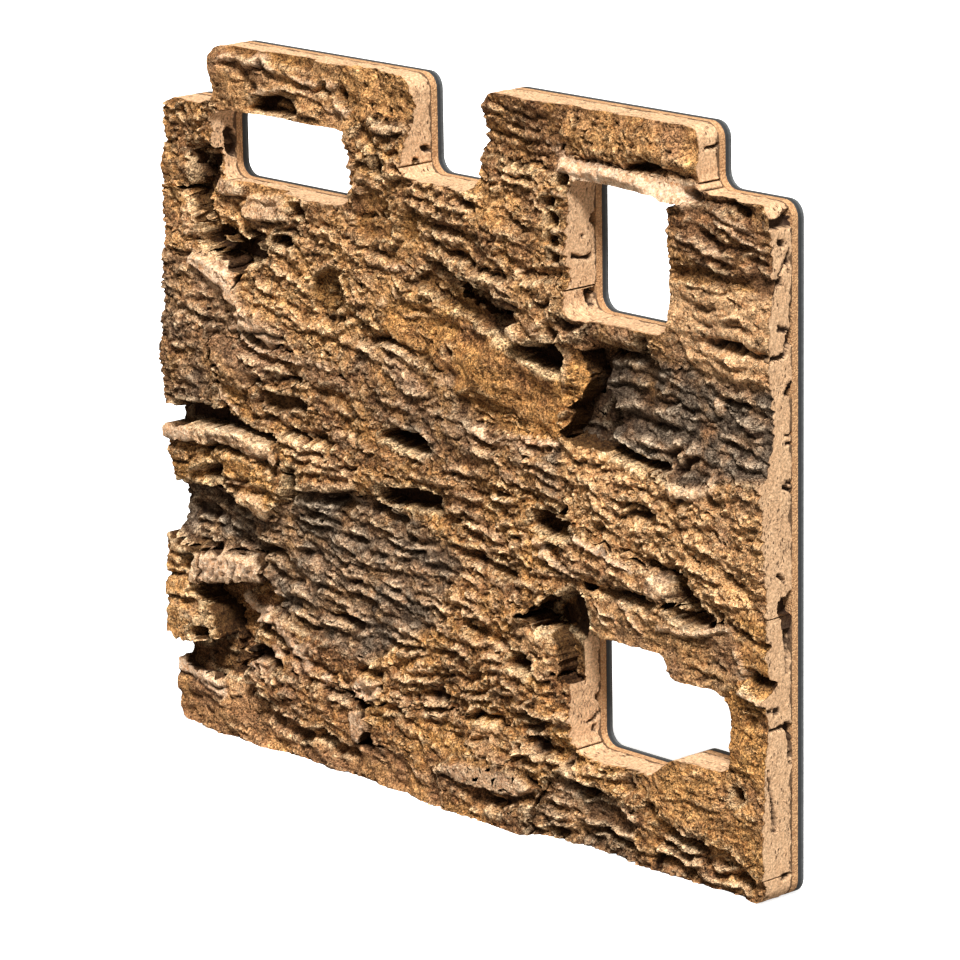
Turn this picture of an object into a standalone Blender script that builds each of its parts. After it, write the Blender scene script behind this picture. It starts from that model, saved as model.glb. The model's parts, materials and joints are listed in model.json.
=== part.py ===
# Cork bark wall panel, standing on its sawn bottom edge, with the bark towards -Y.
#
# Forty-eight pieces of rough cork bark are glued side by side on a thin board of pressed cork
# granules, and the board on a dark backing sheet. The whole was then sawn along one outline,
# with two tabs and a notch at the top and three windows, so every piece ends flush with it.
#
# Outlines are in millimetres, as (x, z) seen from the front. A height is how far a piece of
# bark stands from the back of the panel.

import math

import bmesh
import bpy
from mathutils import Matrix, Vector

MM = 0.001

# Sawn outline
HALF_WIDTH = 321
SHOULDER_TOP = 500
TAB_TOP = 546
NOTCH_FLOOR = 472.5
TAB_LEFT_EDGE = -266
NOTCH_LEFT = -43
NOTCH_RIGHT = 36
TAB_RIGHT_EDGE = 252
CORNER_RADIUS = 12
CORNER_STEPS = 6

# Layers, from the back
SHEET_THICKNESS = 6
BOARD_THICKNESS = 6
TALLEST_BARK = 52
CONTACT_GAP = 0.3
SEAM = 0.9
ROUNDING = 3.5
OVERCUT = 20
NEIGHBOUR_REACH = 3

OUTLINE = [
    (-HALF_WIDTH, 0), (HALF_WIDTH, 0), (HALF_WIDTH, SHOULDER_TOP), (TAB_RIGHT_EDGE, SHOULDER_TOP),
    (TAB_RIGHT_EDGE, TAB_TOP), (NOTCH_RIGHT, TAB_TOP), (NOTCH_RIGHT, NOTCH_FLOOR),
    (NOTCH_LEFT, NOTCH_FLOOR), (NOTCH_LEFT, TAB_TOP), (TAB_LEFT_EDGE, TAB_TOP),
    (TAB_LEFT_EDGE, SHOULDER_TOP), (-HALF_WIDTH, SHOULDER_TOP),
]

WINDOWS = [
    [(-266, 441), (-110, 441), (-110, 497), (-266, 497)],
    [(129, 395), (226, 395), (226, 495), (129, 495)],
    [(129, 70), (206, 70), (232, 89), (286, 89), (286, 149), (234, 149), (220, 165), (129, 165)],
]

COLOURS = {
    "ochre": (0.42, 0.25, 0.11),
    "brown": (0.24, 0.14, 0.07),
    "grey": (0.15, 0.12, 0.09),
    "pale": (0.62, 0.45, 0.29),
    "board": (0.50, 0.33, 0.19),
    "sheet": (0.035, 0.037, 0.04),
}

# Bark pieces: name, colour, height at the middle, rise to the right in mm per 100 mm, outline.
# Where two outlines cross, the piece listed first is whole and the later one is fitted to it.
BARK = [
    ("bark_left_chunk", "ochre", 50, 0, [
        (-332, 76), (-300, 72), (-266, 74), (-270, 100), (-292, 108), (-286, 128), (-287, 142),
        (-300, 146), (-318, 155), (-332, 150)]),
    ("bark_left_flake", "pale", 48, 0, [
        (-332, 404), (-303, 399), (-288, 394), (-276, 398), (-275, 406), (-280, 416), (-288, 424),
        (-306, 430), (-332, 434)]),
    ("bark_left_lobe", "brown", 44, 0, [
        (-332, 433), (-306, 430), (-292, 436), (-284, 440), (-285, 452), (-292, 462), (-310, 463),
        (-332, 464)]),
    ("bark_lower_left_ridge", "pale", 48, 0, [
        (-332, 230), (-289, 233), (-239, 235), (-190, 229), (-182, 234), (-194, 244), (-239, 250),
        (-289, 248), (-312, 243), (-332, 238)]),
    ("bark_fracture_strip", "pale", 46, 0, [
        (-300, 122), (-290, 118), (-270, 123), (-240, 129), (-218, 131), (-214, 142), (-222, 152),
        (-240, 150), (-270, 146), (-292, 141)]),
    ("bark_reddish_flake", "brown", 46, 0, [
        (-238, 50), (-234, 40), (-192, 36), (-157, 30), (-127, 28), (-104, 27), (-91, 38),
        (-90, 50), (-104, 59), (-122, 64), (-172, 66), (-206, 64), (-232, 62)]),
    ("bark_bottom_left", "brown", 43, 3, [
        (-332, -8), (-6, -8), (-8, 8), (-14, 20), (-40, 22), (-72, 28), (-104, 26), (-127, 27),
        (-157, 29), (-192, 35), (-234, 40), (-236, 49), (-270, 46), (-300, 46), (-318, 50),
        (-332, 56)]),
    ("bark_bottom_bulge", "brown", 52, 0, [
        (-5, -8), (86, -8), (92, 20), (96, 36), (80, 46), (40, 50), (5, 44), (-12, 30), (-8, 10)]),
    ("bark_bottom_row", "ochre", 45, 0, [
        (-90, 38), (-72, 29), (-40, 24), (-16, 22), (-8, 10), (-12, 31), (5, 45), (40, 51),
        (80, 47), (98, 38), (106, 50), (100, 68), (75, 72), (30, 76), (-5, 72), (-14, 66),
        (-55, 66), (-92, 60)]),
    ("bark_hollow_ledge", "pale", 44, 0, [
        (70, 163), (72, 141), (92, 131), (97, 122), (107, 124), (119, 141), (116, 151), (89, 161)]),
    ("bark_window_tongue", "ochre", 43, 0, [
        (140, 158), (222, 158), (232, 142), (276, 142), (290, 153), (297, 161), (296, 185),
        (286, 197), (262, 194), (240, 198), (215, 206), (180, 205), (150, 197), (134, 186)]),
    ("bark_pale_ridge", "pale", 46, 0, [
        (118, 246), (116, 228), (122, 212), (150, 206), (190, 204), (222, 206), (236, 212),
        (232, 222), (200, 226), (160, 234), (135, 243)]),
    ("bark_crust_overhang", "ochre", 46, 0, [
        (10, 420), (20, 400), (40, 392), (50, 380), (68, 372), (84, 364), (100, 368), (118, 376),
        (140, 378), (150, 392), (140, 404), (120, 420), (60, 416)]),
    ("bark_pale_slab", "pale", 45, 0, [
        (-302, 376), (-276, 362), (-252, 352), (-240, 342), (-236, 330), (-222, 327), (-200, 318),
        (-186, 325), (-190, 337), (-225, 345), (-236, 360), (-240, 374), (-262, 381), (-288, 384)]),
    ("bark_left_ochre", "ochre", 45, 0, [
        (-332, 385), (-302, 377), (-288, 385), (-262, 383), (-250, 386), (-254, 394), (-276, 397),
        (-288, 393), (-303, 399), (-332, 404)]),
    ("bark_left_rough", "grey", 46, -5, [
        (-332, 263), (-315, 258), (-290, 260), (-262, 262), (-258, 272), (-262, 288), (-266, 300),
        (-272, 318), (-262, 328), (-232, 328), (-238, 340), (-250, 352), (-275, 362), (-300, 374),
        (-332, 385)]),
    ("bark_pale_rim", "brown", 43, 0, [
        (-268, 316), (-262, 300), (-256, 284), (-236, 283), (-196, 295), (-156, 304), (-126, 300),
        (-108, 301), (-110, 314), (-150, 320), (-185, 320), (-200, 317), (-222, 326), (-236, 328),
        (-276, 325)]),
    ("bark_window_jamb", "brown", 38, 0, [
        (-122, 438), (-80, 440), (-64, 450), (-60, 464), (-68, 477), (-76, 484), (-80, 498),
        (-97, 505), (-114, 498)]),
    ("bark_upper_crust", "ochre", 42, 0, [
        (-182, 452), (-190, 432), (-196, 418), (-205, 404), (-222, 396), (-232, 378), (-238, 360),
        (-225, 344), (-190, 336), (-186, 322), (-150, 321), (-110, 316), (-100, 342), (-74, 350),
        (-68, 374), (-50, 378), (-20, 383), (8, 394), (-10, 402), (-35, 405), (-62, 402),
        (-62, 412), (-48, 428), (-52, 441), (-66, 449), (-110, 452)]),
    ("bark_notch_crust", "ochre", 41, 0, [
        (-62, 468), (-66, 449), (-48, 428), (-62, 412), (-62, 402), (-35, 406), (-10, 403),
        (22, 402), (60, 412), (118, 413), (128, 415), (140, 425), (140, 496), (118, 496),
        (108, 496), (60, 499), (25, 502), (25, 480), (-50, 480)]),
    ("bark_caramel", "ochre", 40, 0, [
        (-74, 350), (-40, 343), (0, 328), (20, 310), (40, 299), (80, 297), (120, 302), (124, 328),
        (136, 338), (143, 354), (136, 374), (118, 376), (100, 368), (82, 364), (60, 372),
        (45, 378), (30, 384), (8, 393), (-20, 383), (-48, 378), (-68, 373)]),
    ("bark_grey_flakes", "grey", 41, 0, [
        (-108, 300), (-104, 284), (-60, 284), (-40, 278), (-30, 262), (5, 260), (20, 270),
        (50, 266), (90, 262), (118, 258), (124, 272), (118, 300), (80, 296), (40, 298), (20, 309),
        (0, 327), (-40, 342), (-74, 350), (-100, 342), (-110, 316)]),
    ("bark_lower_brown", "brown", 38, 0, [
        (-258, 270), (-250, 256), (-215, 252), (-190, 256), (-150, 262), (-105, 262), (-104, 284),
        (-108, 300), (-126, 299), (-156, 303), (-196, 294), (-236, 282), (-256, 284)]),
    ("bark_left_shoulder", "brown", 41, 0, [
        (-332, 464), (-310, 463), (-285, 463), (-262, 467), (-255, 476), (-255, 488), (-268, 500),
        (-274, 508), (-332, 508)]),
    ("bark_window_return", "brown", 30, 0, [
        (-286, 446), (-284, 434), (-262, 433), (-252, 446), (-252, 474), (-262, 466), (-290, 461)]),
    ("bark_left_sill", "ochre", 39, 0, [
        (-264, 448), (-262, 434), (-284, 433), (-290, 426), (-284, 412), (-262, 402), (-232, 399),
        (-205, 405), (-196, 418), (-190, 432), (-182, 452)]),
    ("bark_tab_left_strip", "brown", 34, 0, [
        (-276, 506), (-268, 501), (-257, 493), (-109, 493), (-113, 506), (-126, 526), (-120, 556),
        (-276, 556)]),
    ("bark_tab_left_end", "ochre", 31, 0, [
        (-112, 500), (-98, 505), (-90, 513), (-62, 510), (-30, 513), (-30, 556), (-120, 556),
        (-126, 526)]),
    ("bark_notch_block", "brown", 41, 0, [
        (-90, 514), (-80, 498), (-78, 486), (-70, 476), (-62, 468), (-50, 464), (-40, 466),
        (-40, 513), (-62, 511)]),
    ("bark_tab_right_layers", "brown", 35, 0, [
        (24, 503), (60, 500), (108, 497), (118, 498), (114, 522), (120, 540), (118, 556),
        (24, 556)]),
    ("bark_window_lintel", "pale", 39, 0, [
        (112, 492), (240, 492), (250, 494), (258, 505), (232, 507), (180, 508), (125, 509),
        (112, 512)]),
    ("bark_tab_right_end", "ochre", 35, 0, [
        (114, 522), (125, 510), (180, 509), (232, 508), (264, 506), (264, 556), (118, 556),
        (120, 540)]),
    ("bark_right_shoulder", "brown", 36, 0, [
        (215, 485), (215, 438), (250, 436), (290, 438), (332, 436), (332, 507), (240, 507),
        (240, 490)]),
    ("bark_right_ochre", "ochre", 37, 0, [
        (215, 400), (232, 398), (238, 385), (245, 374), (262, 372), (290, 370), (332, 374),
        (332, 435), (290, 437), (250, 435), (215, 437)]),
    ("bark_right_sill", "brown", 41, 0, [
        (118, 400), (136, 376), (150, 370), (180, 375), (205, 374), (245, 375), (238, 386),
        (232, 401), (150, 402)]),
    ("bark_dark_waves", "grey", 35, 0, [
        (160, 366), (160, 345), (172, 330), (168, 316), (175, 304), (200, 300), (225, 294),
        (262, 292), (278, 302), (300, 306), (332, 307), (332, 373), (290, 369), (262, 371),
        (245, 373), (205, 373), (180, 374)]),
    ("bark_golden_crust", "ochre", 41, 0, [
        (118, 302), (124, 272), (120, 262), (126, 248), (135, 245), (160, 236), (200, 228),
        (232, 224), (236, 214), (240, 202), (262, 197), (286, 200), (300, 210), (332, 208),
        (332, 306), (300, 306), (278, 302), (262, 292), (225, 293), (200, 298), (166, 303)]),
    ("bark_right_column", "ochre", 41, 0, [
        (276, 92), (332, 92), (332, 208), (300, 210), (286, 199), (296, 184), (296, 160),
        (276, 152)]),
    ("bark_lower_right", "ochre", 43, 0, [
        (206, 80), (212, 62), (216, 44), (230, 43), (262, 38), (290, 34), (308, 22), (332, 16),
        (332, 92), (276, 92), (232, 96)]),
    ("bark_bottom_strip", "brown", 38, 0, [
        (188, 14), (190, -8), (332, -8), (332, 15), (308, 21), (290, 33), (262, 37), (230, 42),
        (216, 43), (200, 46), (190, 40), (186, 30)]),
    ("bark_bottom_grey", "grey", 36, 0, [
        (92, 20), (86, -8), (190, -8), (188, 14), (186, 30), (190, 41), (165, 46), (140, 46),
        (106, 48), (96, 36)]),
    ("bark_lower_sill", "ochre", 42, 0, [
        (106, 50), (140, 47), (165, 47), (190, 43), (216, 46), (212, 62), (206, 76), (129, 73),
        (100, 69)]),
    ("bark_centre_ridges", "ochre", 43, 0, [
        (-100, 90), (-92, 72), (-85, 64), (-55, 68), (-14, 68), (-5, 74), (30, 78), (75, 74),
        (100, 70), (140, 66), (140, 122), (107, 124), (97, 122), (92, 131), (72, 141), (70, 163),
        (85, 170), (60, 171), (40, 181), (10, 188), (0, 176), (-12, 158), (-8, 138), (-34, 132),
        (-62, 116), (-76, 104)]),
    ("bark_crust_rows", "ochre", 42, 0, [
        (-182, 236), (-178, 222), (-160, 216), (-110, 224), (-60, 222), (-20, 212), (-5, 205),
        (10, 190), (40, 182), (60, 172), (85, 172), (112, 182), (136, 186), (140, 196),
        (136, 208), (122, 212), (116, 228), (118, 246), (118, 258), (90, 262), (50, 266),
        (20, 270), (5, 260), (-30, 262), (-42, 278), (-62, 283), (-104, 284), (-105, 262),
        (-150, 262), (-190, 256), (-200, 250)]),
    ("bark_orange_heart", "ochre", 43, 0, [
        (-332, 194), (-290, 196), (-262, 202), (-236, 196), (-214, 184), (-205, 186), (-196, 198),
        (-176, 206), (-178, 222), (-190, 228), (-239, 234), (-289, 232), (-332, 229)]),
    ("bark_grey_slab", "grey", 35, 4, [
        (-332, 144), (-296, 144), (-262, 150), (-222, 152), (-214, 142), (-216, 126), (-204, 114),
        (-172, 104), (-130, 98), (-100, 92), (-76, 104), (-62, 116), (-34, 132), (-8, 138),
        (-12, 158), (0, 176), (10, 188), (-4, 203), (-20, 210), (-60, 220), (-110, 222),
        (-166, 214), (-180, 208), (-196, 196), (-212, 184), (-240, 190), (-262, 196), (-300, 194),
        (-332, 192)]),
    ("bark_broken_flakes", "brown", 40, 0, [
        (-234, 64), (-206, 65), (-172, 67), (-122, 65), (-90, 62), (-92, 74), (-100, 91),
        (-130, 97), (-172, 103), (-204, 113), (-226, 100), (-232, 80)]),
    ("bark_recess_floor", "brown", 20, 0, [
        (-284, 50), (-238, 52), (-234, 66), (-232, 80), (-226, 100), (-206, 113), (-218, 130),
        (-240, 128), (-270, 122), (-290, 117), (-290, 104), (-262, 102), (-262, 72), (-284, 68)]),
]


def start_collections():
    for old in list(bpy.data.objects):
        bpy.data.objects.remove(old)
    parts = bpy.data.collections.new("cork_bark_panel")
    cutters = bpy.data.collections.new("cutters")
    bpy.context.scene.collection.children.link(parts)
    bpy.context.scene.collection.children.link(cutters)
    return parts, cutters


def rounded(points, radius):
    """The outline with each corner, inner or outer, turned into an arc."""
    result = []
    for index, point in enumerate(points):
        corner = Vector(point)
        before = Vector(points[index - 1]) - corner
        after = Vector(points[(index + 1) % len(points)]) - corner
        angle = before.angle(after)
        reach = min(radius / math.tan(angle / 2), before.length / 2, after.length / 2)
        bend = reach * math.tan(angle / 2)
        start = corner + before.normalized() * reach
        middle = (before.normalized() + after.normalized()).normalized()
        centre = corner + middle * bend / math.sin(angle / 2)
        first = start - centre
        last = corner + after.normalized() * reach - centre
        turn = first.angle_signed(last)
        for step in range(CORNER_STEPS + 1):
            spoke = Matrix.Rotation(-turn * step / CORNER_STEPS, 2) @ first
            result.append(tuple(centre + spoke))
    return result


def grown(points, amount):
    """The outline moved outwards by an amount, for the cutter that leaves a seam round it."""
    area = sum(a[0] * b[1] - b[0] * a[1] for a, b in zip(points, points[1:] + points[:1]))
    side = 1 if area > 0 else -1
    result = []
    for index, point in enumerate(points):
        here = Vector(point)
        arriving = (here - Vector(points[index - 1])).normalized()
        leaving = (Vector(points[(index + 1) % len(points)]) - here).normalized()
        normal = Vector((arriving.y + leaving.y, -arriving.x - leaving.x)).normalized() * side
        spread = max(0.5, normal.dot(Vector((arriving.y, -arriving.x)) * side))
        result.append(tuple(here + normal * amount / spread))
    return result


def prism(name, loops, near, far, collection):
    """A closed solid of a flat outline, from one distance from the panel's back to another."""
    curve = bpy.data.curves.new(name, "CURVE")
    curve.dimensions = "2D"
    curve.fill_mode = "BOTH"
    curve.extrude = (far - near) / 2 * MM
    for loop in loops:
        spline = curve.splines.new("POLY")
        spline.points.add(len(loop) - 1)
        for point, (x, z) in zip(spline.points, loop):
            point.co = (x * MM, z * MM, 0, 1)
        spline.use_cyclic_u = True
    drawn = bpy.data.objects.new(name + "_outline", curve)
    drawn.rotation_euler = (math.pi / 2, 0, 0)
    drawn.location = (0, TALLEST_BARK / 2 * MM - (near + far) / 2 * MM, 0)
    collection.objects.link(drawn)
    bpy.context.view_layer.update()
    graph = bpy.context.evaluated_depsgraph_get()
    mesh = bpy.data.meshes.new_from_object(drawn.evaluated_get(graph))
    solid = bpy.data.objects.new(name, mesh)
    solid.matrix_world = drawn.matrix_world.copy()
    collection.objects.link(solid)
    bpy.data.objects.remove(drawn)
    body = bmesh.new()
    body.from_mesh(mesh)
    bmesh.ops.remove_doubles(body, verts=body.verts, dist=0.00002)
    bmesh.ops.recalc_face_normals(body, faces=body.faces)
    if len(loops) == 1:
        bmesh.ops.dissolve_limit(body, angle_limit=0.01, verts=body.verts, edges=body.edges)
    body.to_mesh(mesh)
    body.free()
    return solid


def round_front(solid, width):
    """Rounds the rim of the front face, which faces +Z in the outline's own space."""
    body = bmesh.new()
    body.from_mesh(solid.data)
    front = max(vertex.co.z for vertex in body.verts)
    rim = [edge for edge in body.edges
           if all(abs(vertex.co.z - front) < 0.1 * MM for vertex in edge.verts)
           and edge.calc_face_angle(0) > 0.5]
    bmesh.ops.bevel(body, geom=rim, offset=width * MM, segments=2, profile=0.5,
                    affect="EDGES", clamp_overlap=True, material=-1)
    body.to_mesh(solid.data)
    body.free()


def lean_front(solid, rise, middle):
    """Slopes the front so that it stands further out towards the right."""
    back = min(vertex.co.z for vertex in solid.data.vertices)
    for vertex in solid.data.vertices:
        if vertex.co.z > back + 1 * MM:
            vertex.co.z += (vertex.co.x - middle * MM) * rise / 100


def boolean(solid, cutter, operation):
    change = solid.modifiers.new("cut", "BOOLEAN")
    change.operation = operation
    change.object = cutter
    change.solver = "EXACT"
    bpy.context.view_layer.update()
    graph = bpy.context.evaluated_depsgraph_get()
    mesh = bpy.data.meshes.new_from_object(solid.evaluated_get(graph))
    solid.modifiers.clear()
    solid.data = mesh


def tidy(solid):
    """Drops the offcuts of a fitted piece and the edges that lie within a flat face."""
    body = bmesh.new()
    body.from_mesh(solid.data)
    bmesh.ops.remove_doubles(body, verts=body.verts, dist=0.00005)
    bmesh.ops.dissolve_degenerate(body, edges=body.edges, dist=0.00005)
    islands = []
    waiting = set(body.verts)
    while waiting:
        island = set()
        found = [waiting.pop()]
        while found:
            vertex = found.pop()
            island.add(vertex)
            for edge in vertex.link_edges:
                other = edge.other_vert(vertex)
                if other in waiting:
                    waiting.remove(other)
                    found.append(other)
        islands.append(island)
    largest = max(islands, key=spread)
    offcuts = [vertex for vertex in body.verts if vertex not in largest]
    bmesh.ops.delete(body, geom=offcuts, context="VERTS")
    bmesh.ops.dissolve_limit(body, angle_limit=0.01, verts=body.verts, edges=body.edges)
    open_edges = [edge for edge in body.edges if edge.is_boundary]
    bmesh.ops.holes_fill(body, edges=open_edges, sides=0)
    bmesh.ops.recalc_face_normals(body, faces=body.faces)
    bmesh.ops.triangulate(body, faces=body.faces)
    body.to_mesh(solid.data)
    body.free()


def spread(island):
    width = max(vertex.co.x for vertex in island) - min(vertex.co.x for vertex in island)
    height = max(vertex.co.y for vertex in island) - min(vertex.co.y for vertex in island)
    return width * height


def paint(solid, name, colour, roughness):
    material = bpy.data.materials.new(name)
    material.use_nodes = True
    shader = material.node_tree.nodes["Principled BSDF"]
    shader.inputs["Base Color"].default_value = (*colour, 1)
    shader.inputs["Roughness"].default_value = roughness
    solid.data.materials.clear()
    solid.data.materials.append(material)


def make_sheets(parts):
    """The backing sheet and the pressed cork board, sawn to the same outline."""
    loops = [rounded(OUTLINE, CORNER_RADIUS)] + [rounded(hole, CORNER_RADIUS) for hole in WINDOWS]
    sheet = prism("backing_sheet", loops, 0, SHEET_THICKNESS, parts)
    paint(sheet, "backing_sheet", COLOURS["sheet"], 0.6)
    board_back = SHEET_THICKNESS + CONTACT_GAP
    board_front = SHEET_THICKNESS + BOARD_THICKNESS
    board = prism("cork_board", loops, board_back, board_front, parts)
    paint(board, "cork_board", COLOURS["board"], 0.85)


def make_bark(parts, cutters):
    """Each piece: a rounded prism, sawn by the panel's outline and fitted to earlier pieces."""
    loops = [rounded(OUTLINE, CORNER_RADIUS)] + [rounded(hole, CORNER_RADIUS) for hole in WINDOWS]
    stock = prism("sawn_outline", loops, -OVERCUT, TALLEST_BARK + OVERCUT, cutters)
    foot = SHEET_THICKNESS + BOARD_THICKNESS + CONTACT_GAP
    for place, (name, colour, height, rise, points) in enumerate(BARK):
        solid = prism(name, [points], foot, height, parts)
        round_front(solid, ROUNDING)
        xs = [x for x, z in points]
        lean_front(solid, rise, (min(xs) + max(xs)) / 2)
        boolean(solid, stock, "INTERSECT")
        for earlier in BARK[:place]:
            if near(points, earlier[4]):
                kerf = prism("kerf", [grown(earlier[4], SEAM)], -OVERCUT,
                             TALLEST_BARK + OVERCUT, cutters)
                boolean(solid, kerf, "DIFFERENCE")
                bpy.data.objects.remove(kerf)
        tidy(solid)
        paint(solid, name, COLOURS[colour], 0.9)
    stock.hide_render = True
    stock.display_type = "WIRE"


def near(one, other):
    for axis in (0, 1):
        low_one, high_one = min(p[axis] for p in one), max(p[axis] for p in one)
        low_other, high_other = min(p[axis] for p in other), max(p[axis] for p in other)
        if low_one > high_other + NEIGHBOUR_REACH or low_other > high_one + NEIGHBOUR_REACH:
            return False
    return True


def main():
    parts, cutters = start_collections()
    make_sheets(parts)
    make_bark(parts, cutters)


main()
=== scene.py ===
import json
import math

import bmesh
import bpy
import numpy as np
from mathutils import Matrix, Vector

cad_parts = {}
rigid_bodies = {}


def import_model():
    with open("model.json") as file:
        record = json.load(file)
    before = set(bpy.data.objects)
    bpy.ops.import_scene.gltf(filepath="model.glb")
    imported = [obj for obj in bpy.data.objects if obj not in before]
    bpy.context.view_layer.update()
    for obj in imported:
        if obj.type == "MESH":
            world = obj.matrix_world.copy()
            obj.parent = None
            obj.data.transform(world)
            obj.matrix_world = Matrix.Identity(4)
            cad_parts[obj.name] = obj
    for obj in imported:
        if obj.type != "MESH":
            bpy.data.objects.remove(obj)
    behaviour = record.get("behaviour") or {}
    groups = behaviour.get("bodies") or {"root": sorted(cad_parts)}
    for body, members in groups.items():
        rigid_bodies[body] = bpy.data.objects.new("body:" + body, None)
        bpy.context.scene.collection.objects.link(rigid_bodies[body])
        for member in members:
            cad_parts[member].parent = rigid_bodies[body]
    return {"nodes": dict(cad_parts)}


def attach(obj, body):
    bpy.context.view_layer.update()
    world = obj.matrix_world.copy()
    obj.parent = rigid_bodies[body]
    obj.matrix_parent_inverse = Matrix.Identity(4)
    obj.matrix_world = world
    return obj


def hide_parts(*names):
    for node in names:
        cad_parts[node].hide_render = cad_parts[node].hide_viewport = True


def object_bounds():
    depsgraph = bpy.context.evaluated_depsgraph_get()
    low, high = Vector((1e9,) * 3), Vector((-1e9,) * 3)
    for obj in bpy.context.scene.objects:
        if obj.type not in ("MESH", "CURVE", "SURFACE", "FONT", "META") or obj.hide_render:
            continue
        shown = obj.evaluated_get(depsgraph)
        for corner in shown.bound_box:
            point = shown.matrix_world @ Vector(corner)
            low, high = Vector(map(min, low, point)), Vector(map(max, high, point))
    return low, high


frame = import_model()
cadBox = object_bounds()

# Cork bark wall panel. Sizes are millimetres seen from the front: x to the right, z up, and
# height is how far the bark stands off the panel's back.
mm = 0.001
nodes = frame["nodes"]
backPlane = cadBox[1].y / mm
print("frame loaded:", len(nodes), "nodes")

# raster of the whole front
raster = {"left": -330.5, "bottom": -7.0, "step": 0.7, "columns": 945, "rows": 800}
step = raster["step"]
rasterX, rasterZ = np.meshgrid(raster["left"] + step * np.arange(raster["columns"]),
                               raster["bottom"] + step * np.arange(raster["rows"]))
waveZ = np.fft.fftfreq(raster["rows"], step)[:, None]
waveX = np.fft.rfftfreq(raster["columns"], step)[None, :]


def blur(field, width, tall=None):
    tall = width if tall is None else tall
    keep = np.exp(-2 * math.pi ** 2 * ((waveX * width) ** 2 + (waveZ * tall) ** 2))
    return np.fft.irfft2(np.fft.rfft2(field) * keep, s=field.shape)


def grain(seed, long, short, tilt=0.0):
    # smooth noise stretched along a direction, about -2.5 to 2.5
    white = np.random.default_rng(seed).standard_normal(rasterX.shape)
    turn = math.radians(tilt)
    alongWave = waveX * math.cos(turn) + waveZ * math.sin(turn)
    acrossWave = waveZ * math.cos(turn) - waveX * math.sin(turn)
    keep = np.exp(-2 * math.pi ** 2 * ((alongWave * long) ** 2 + (acrossWave * short) ** 2))
    made = np.fft.irfft2(np.fft.rfft2(white) * keep, s=white.shape)
    return made / made.std()


def octaves(seed, size, count, stretch=1.0, tilt=0.0, fade=0.6):
    total = sum(fade ** k * grain(seed + k, size * stretch / 2 ** k, size / 2 ** k, tilt)
                for k in range(count))
    return total / total.std()


def lookUp(field, x, z):
    u = np.clip((x - raster["left"]) / step, 0, raster["columns"] - 1.001)
    v = np.clip((z - raster["bottom"]) / step, 0, raster["rows"] - 1.001)
    i, j = u.astype(int), v.astype(int)
    fu, fv = u - i, v - j
    low = field[j, i] * (1 - fu) + field[j, i + 1] * fu
    high = field[j + 1, i] * (1 - fu) + field[j + 1, i + 1] * fu
    return low * (1 - fv) + high * fv


def ease(value, low, high):
    t = np.clip((value - low) / (high - low), 0, 1)
    return t * t * (3 - 2 * t)


def cells(seed, sizeX, sizeZ, x, z):
    # distances to the nearest and second nearest seed point, a number for each cell, and how far
    # above its seed a point is
    u, v = (x + 400) / sizeX, (z + 400) / sizeZ
    count = 512
    random = np.random.default_rng(seed)
    jitterU, jitterV, value = (random.random((count, count)) for _ in range(3))
    i0, j0 = np.floor(u).astype(int), np.floor(v).astype(int)
    first, second = np.full(u.shape, 9.0), np.full(u.shape, 9.0)
    number, above = np.zeros(u.shape), np.zeros(u.shape)
    for di in (-1, 0, 1):
        for dj in (-1, 0, 1):
            i, j = (i0 + di) % count, (j0 + dj) % count
            rise = v - (j0 + dj + jitterV[i, j])
            away = np.hypot(i0 + di + jitterU[i, j] - u, rise)
            nearer = away < first
            second = np.where(nearer, first, np.minimum(second, away))
            number = np.where(nearer, value[i, j], number)
            above = np.where(nearer, rise, above)
            first = np.where(nearer, away, first)
    return first, second, number, above


def insideOf(points, x, z):
    within = np.zeros(x.shape, bool)
    for (x0, z0), (x1, z1) in zip(points, np.roll(points, -1, axis=0)):
        if z0 != z1:
            crosses = (z0 > z) != (z1 > z)
            within ^= crosses & (x < (x1 - x0) * (z - z0) / (z1 - z0) + x0)
    return within


def nearLine(points, x, z):
    # distance to a line of points, which side (left of its run is positive), and how far along
    best = np.full(x.shape, 1e9)
    side, run = np.zeros(x.shape), np.zeros(x.shape)
    done = 0.0
    for (x0, z0), (x1, z1) in zip(points[:-1], points[1:]):
        dx, dz = x1 - x0, z1 - z0
        length = math.hypot(dx, dz)
        t = np.clip(((x - x0) * dx + (z - z0) * dz) / length ** 2, 0, 1)
        away = np.hypot(x - x0 - t * dx, z - z0 - t * dz)
        nearer = away < best
        side = np.where(nearer, np.sign(dx * (z - z0) - dz * (x - x0)), side)
        run = np.where(nearer, done + t * length, run)
        best = np.where(nearer, away, best)
        done += length
    return best, side, run, done


# How CAD meshes are read: closer vertices are one (m), how level the front and back are, and
# how near the saw's outline an edge lies to belong to it (mm)
reading = {"weld": 0.00002, "level": 0.95, "onCut": 0.03, "cornerOnCut": 0.05, "turn": 0.3}


def runOf(outline):
    # the direction of each edge of an outline, and its outward normal
    run = np.roll(outline, -1, axis=0) - outline
    run /= np.maximum(np.hypot(*run.T), 1e-9)[:, None]
    return run, np.stack([run[:, 1], -run[:, 0]], 1)


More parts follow.
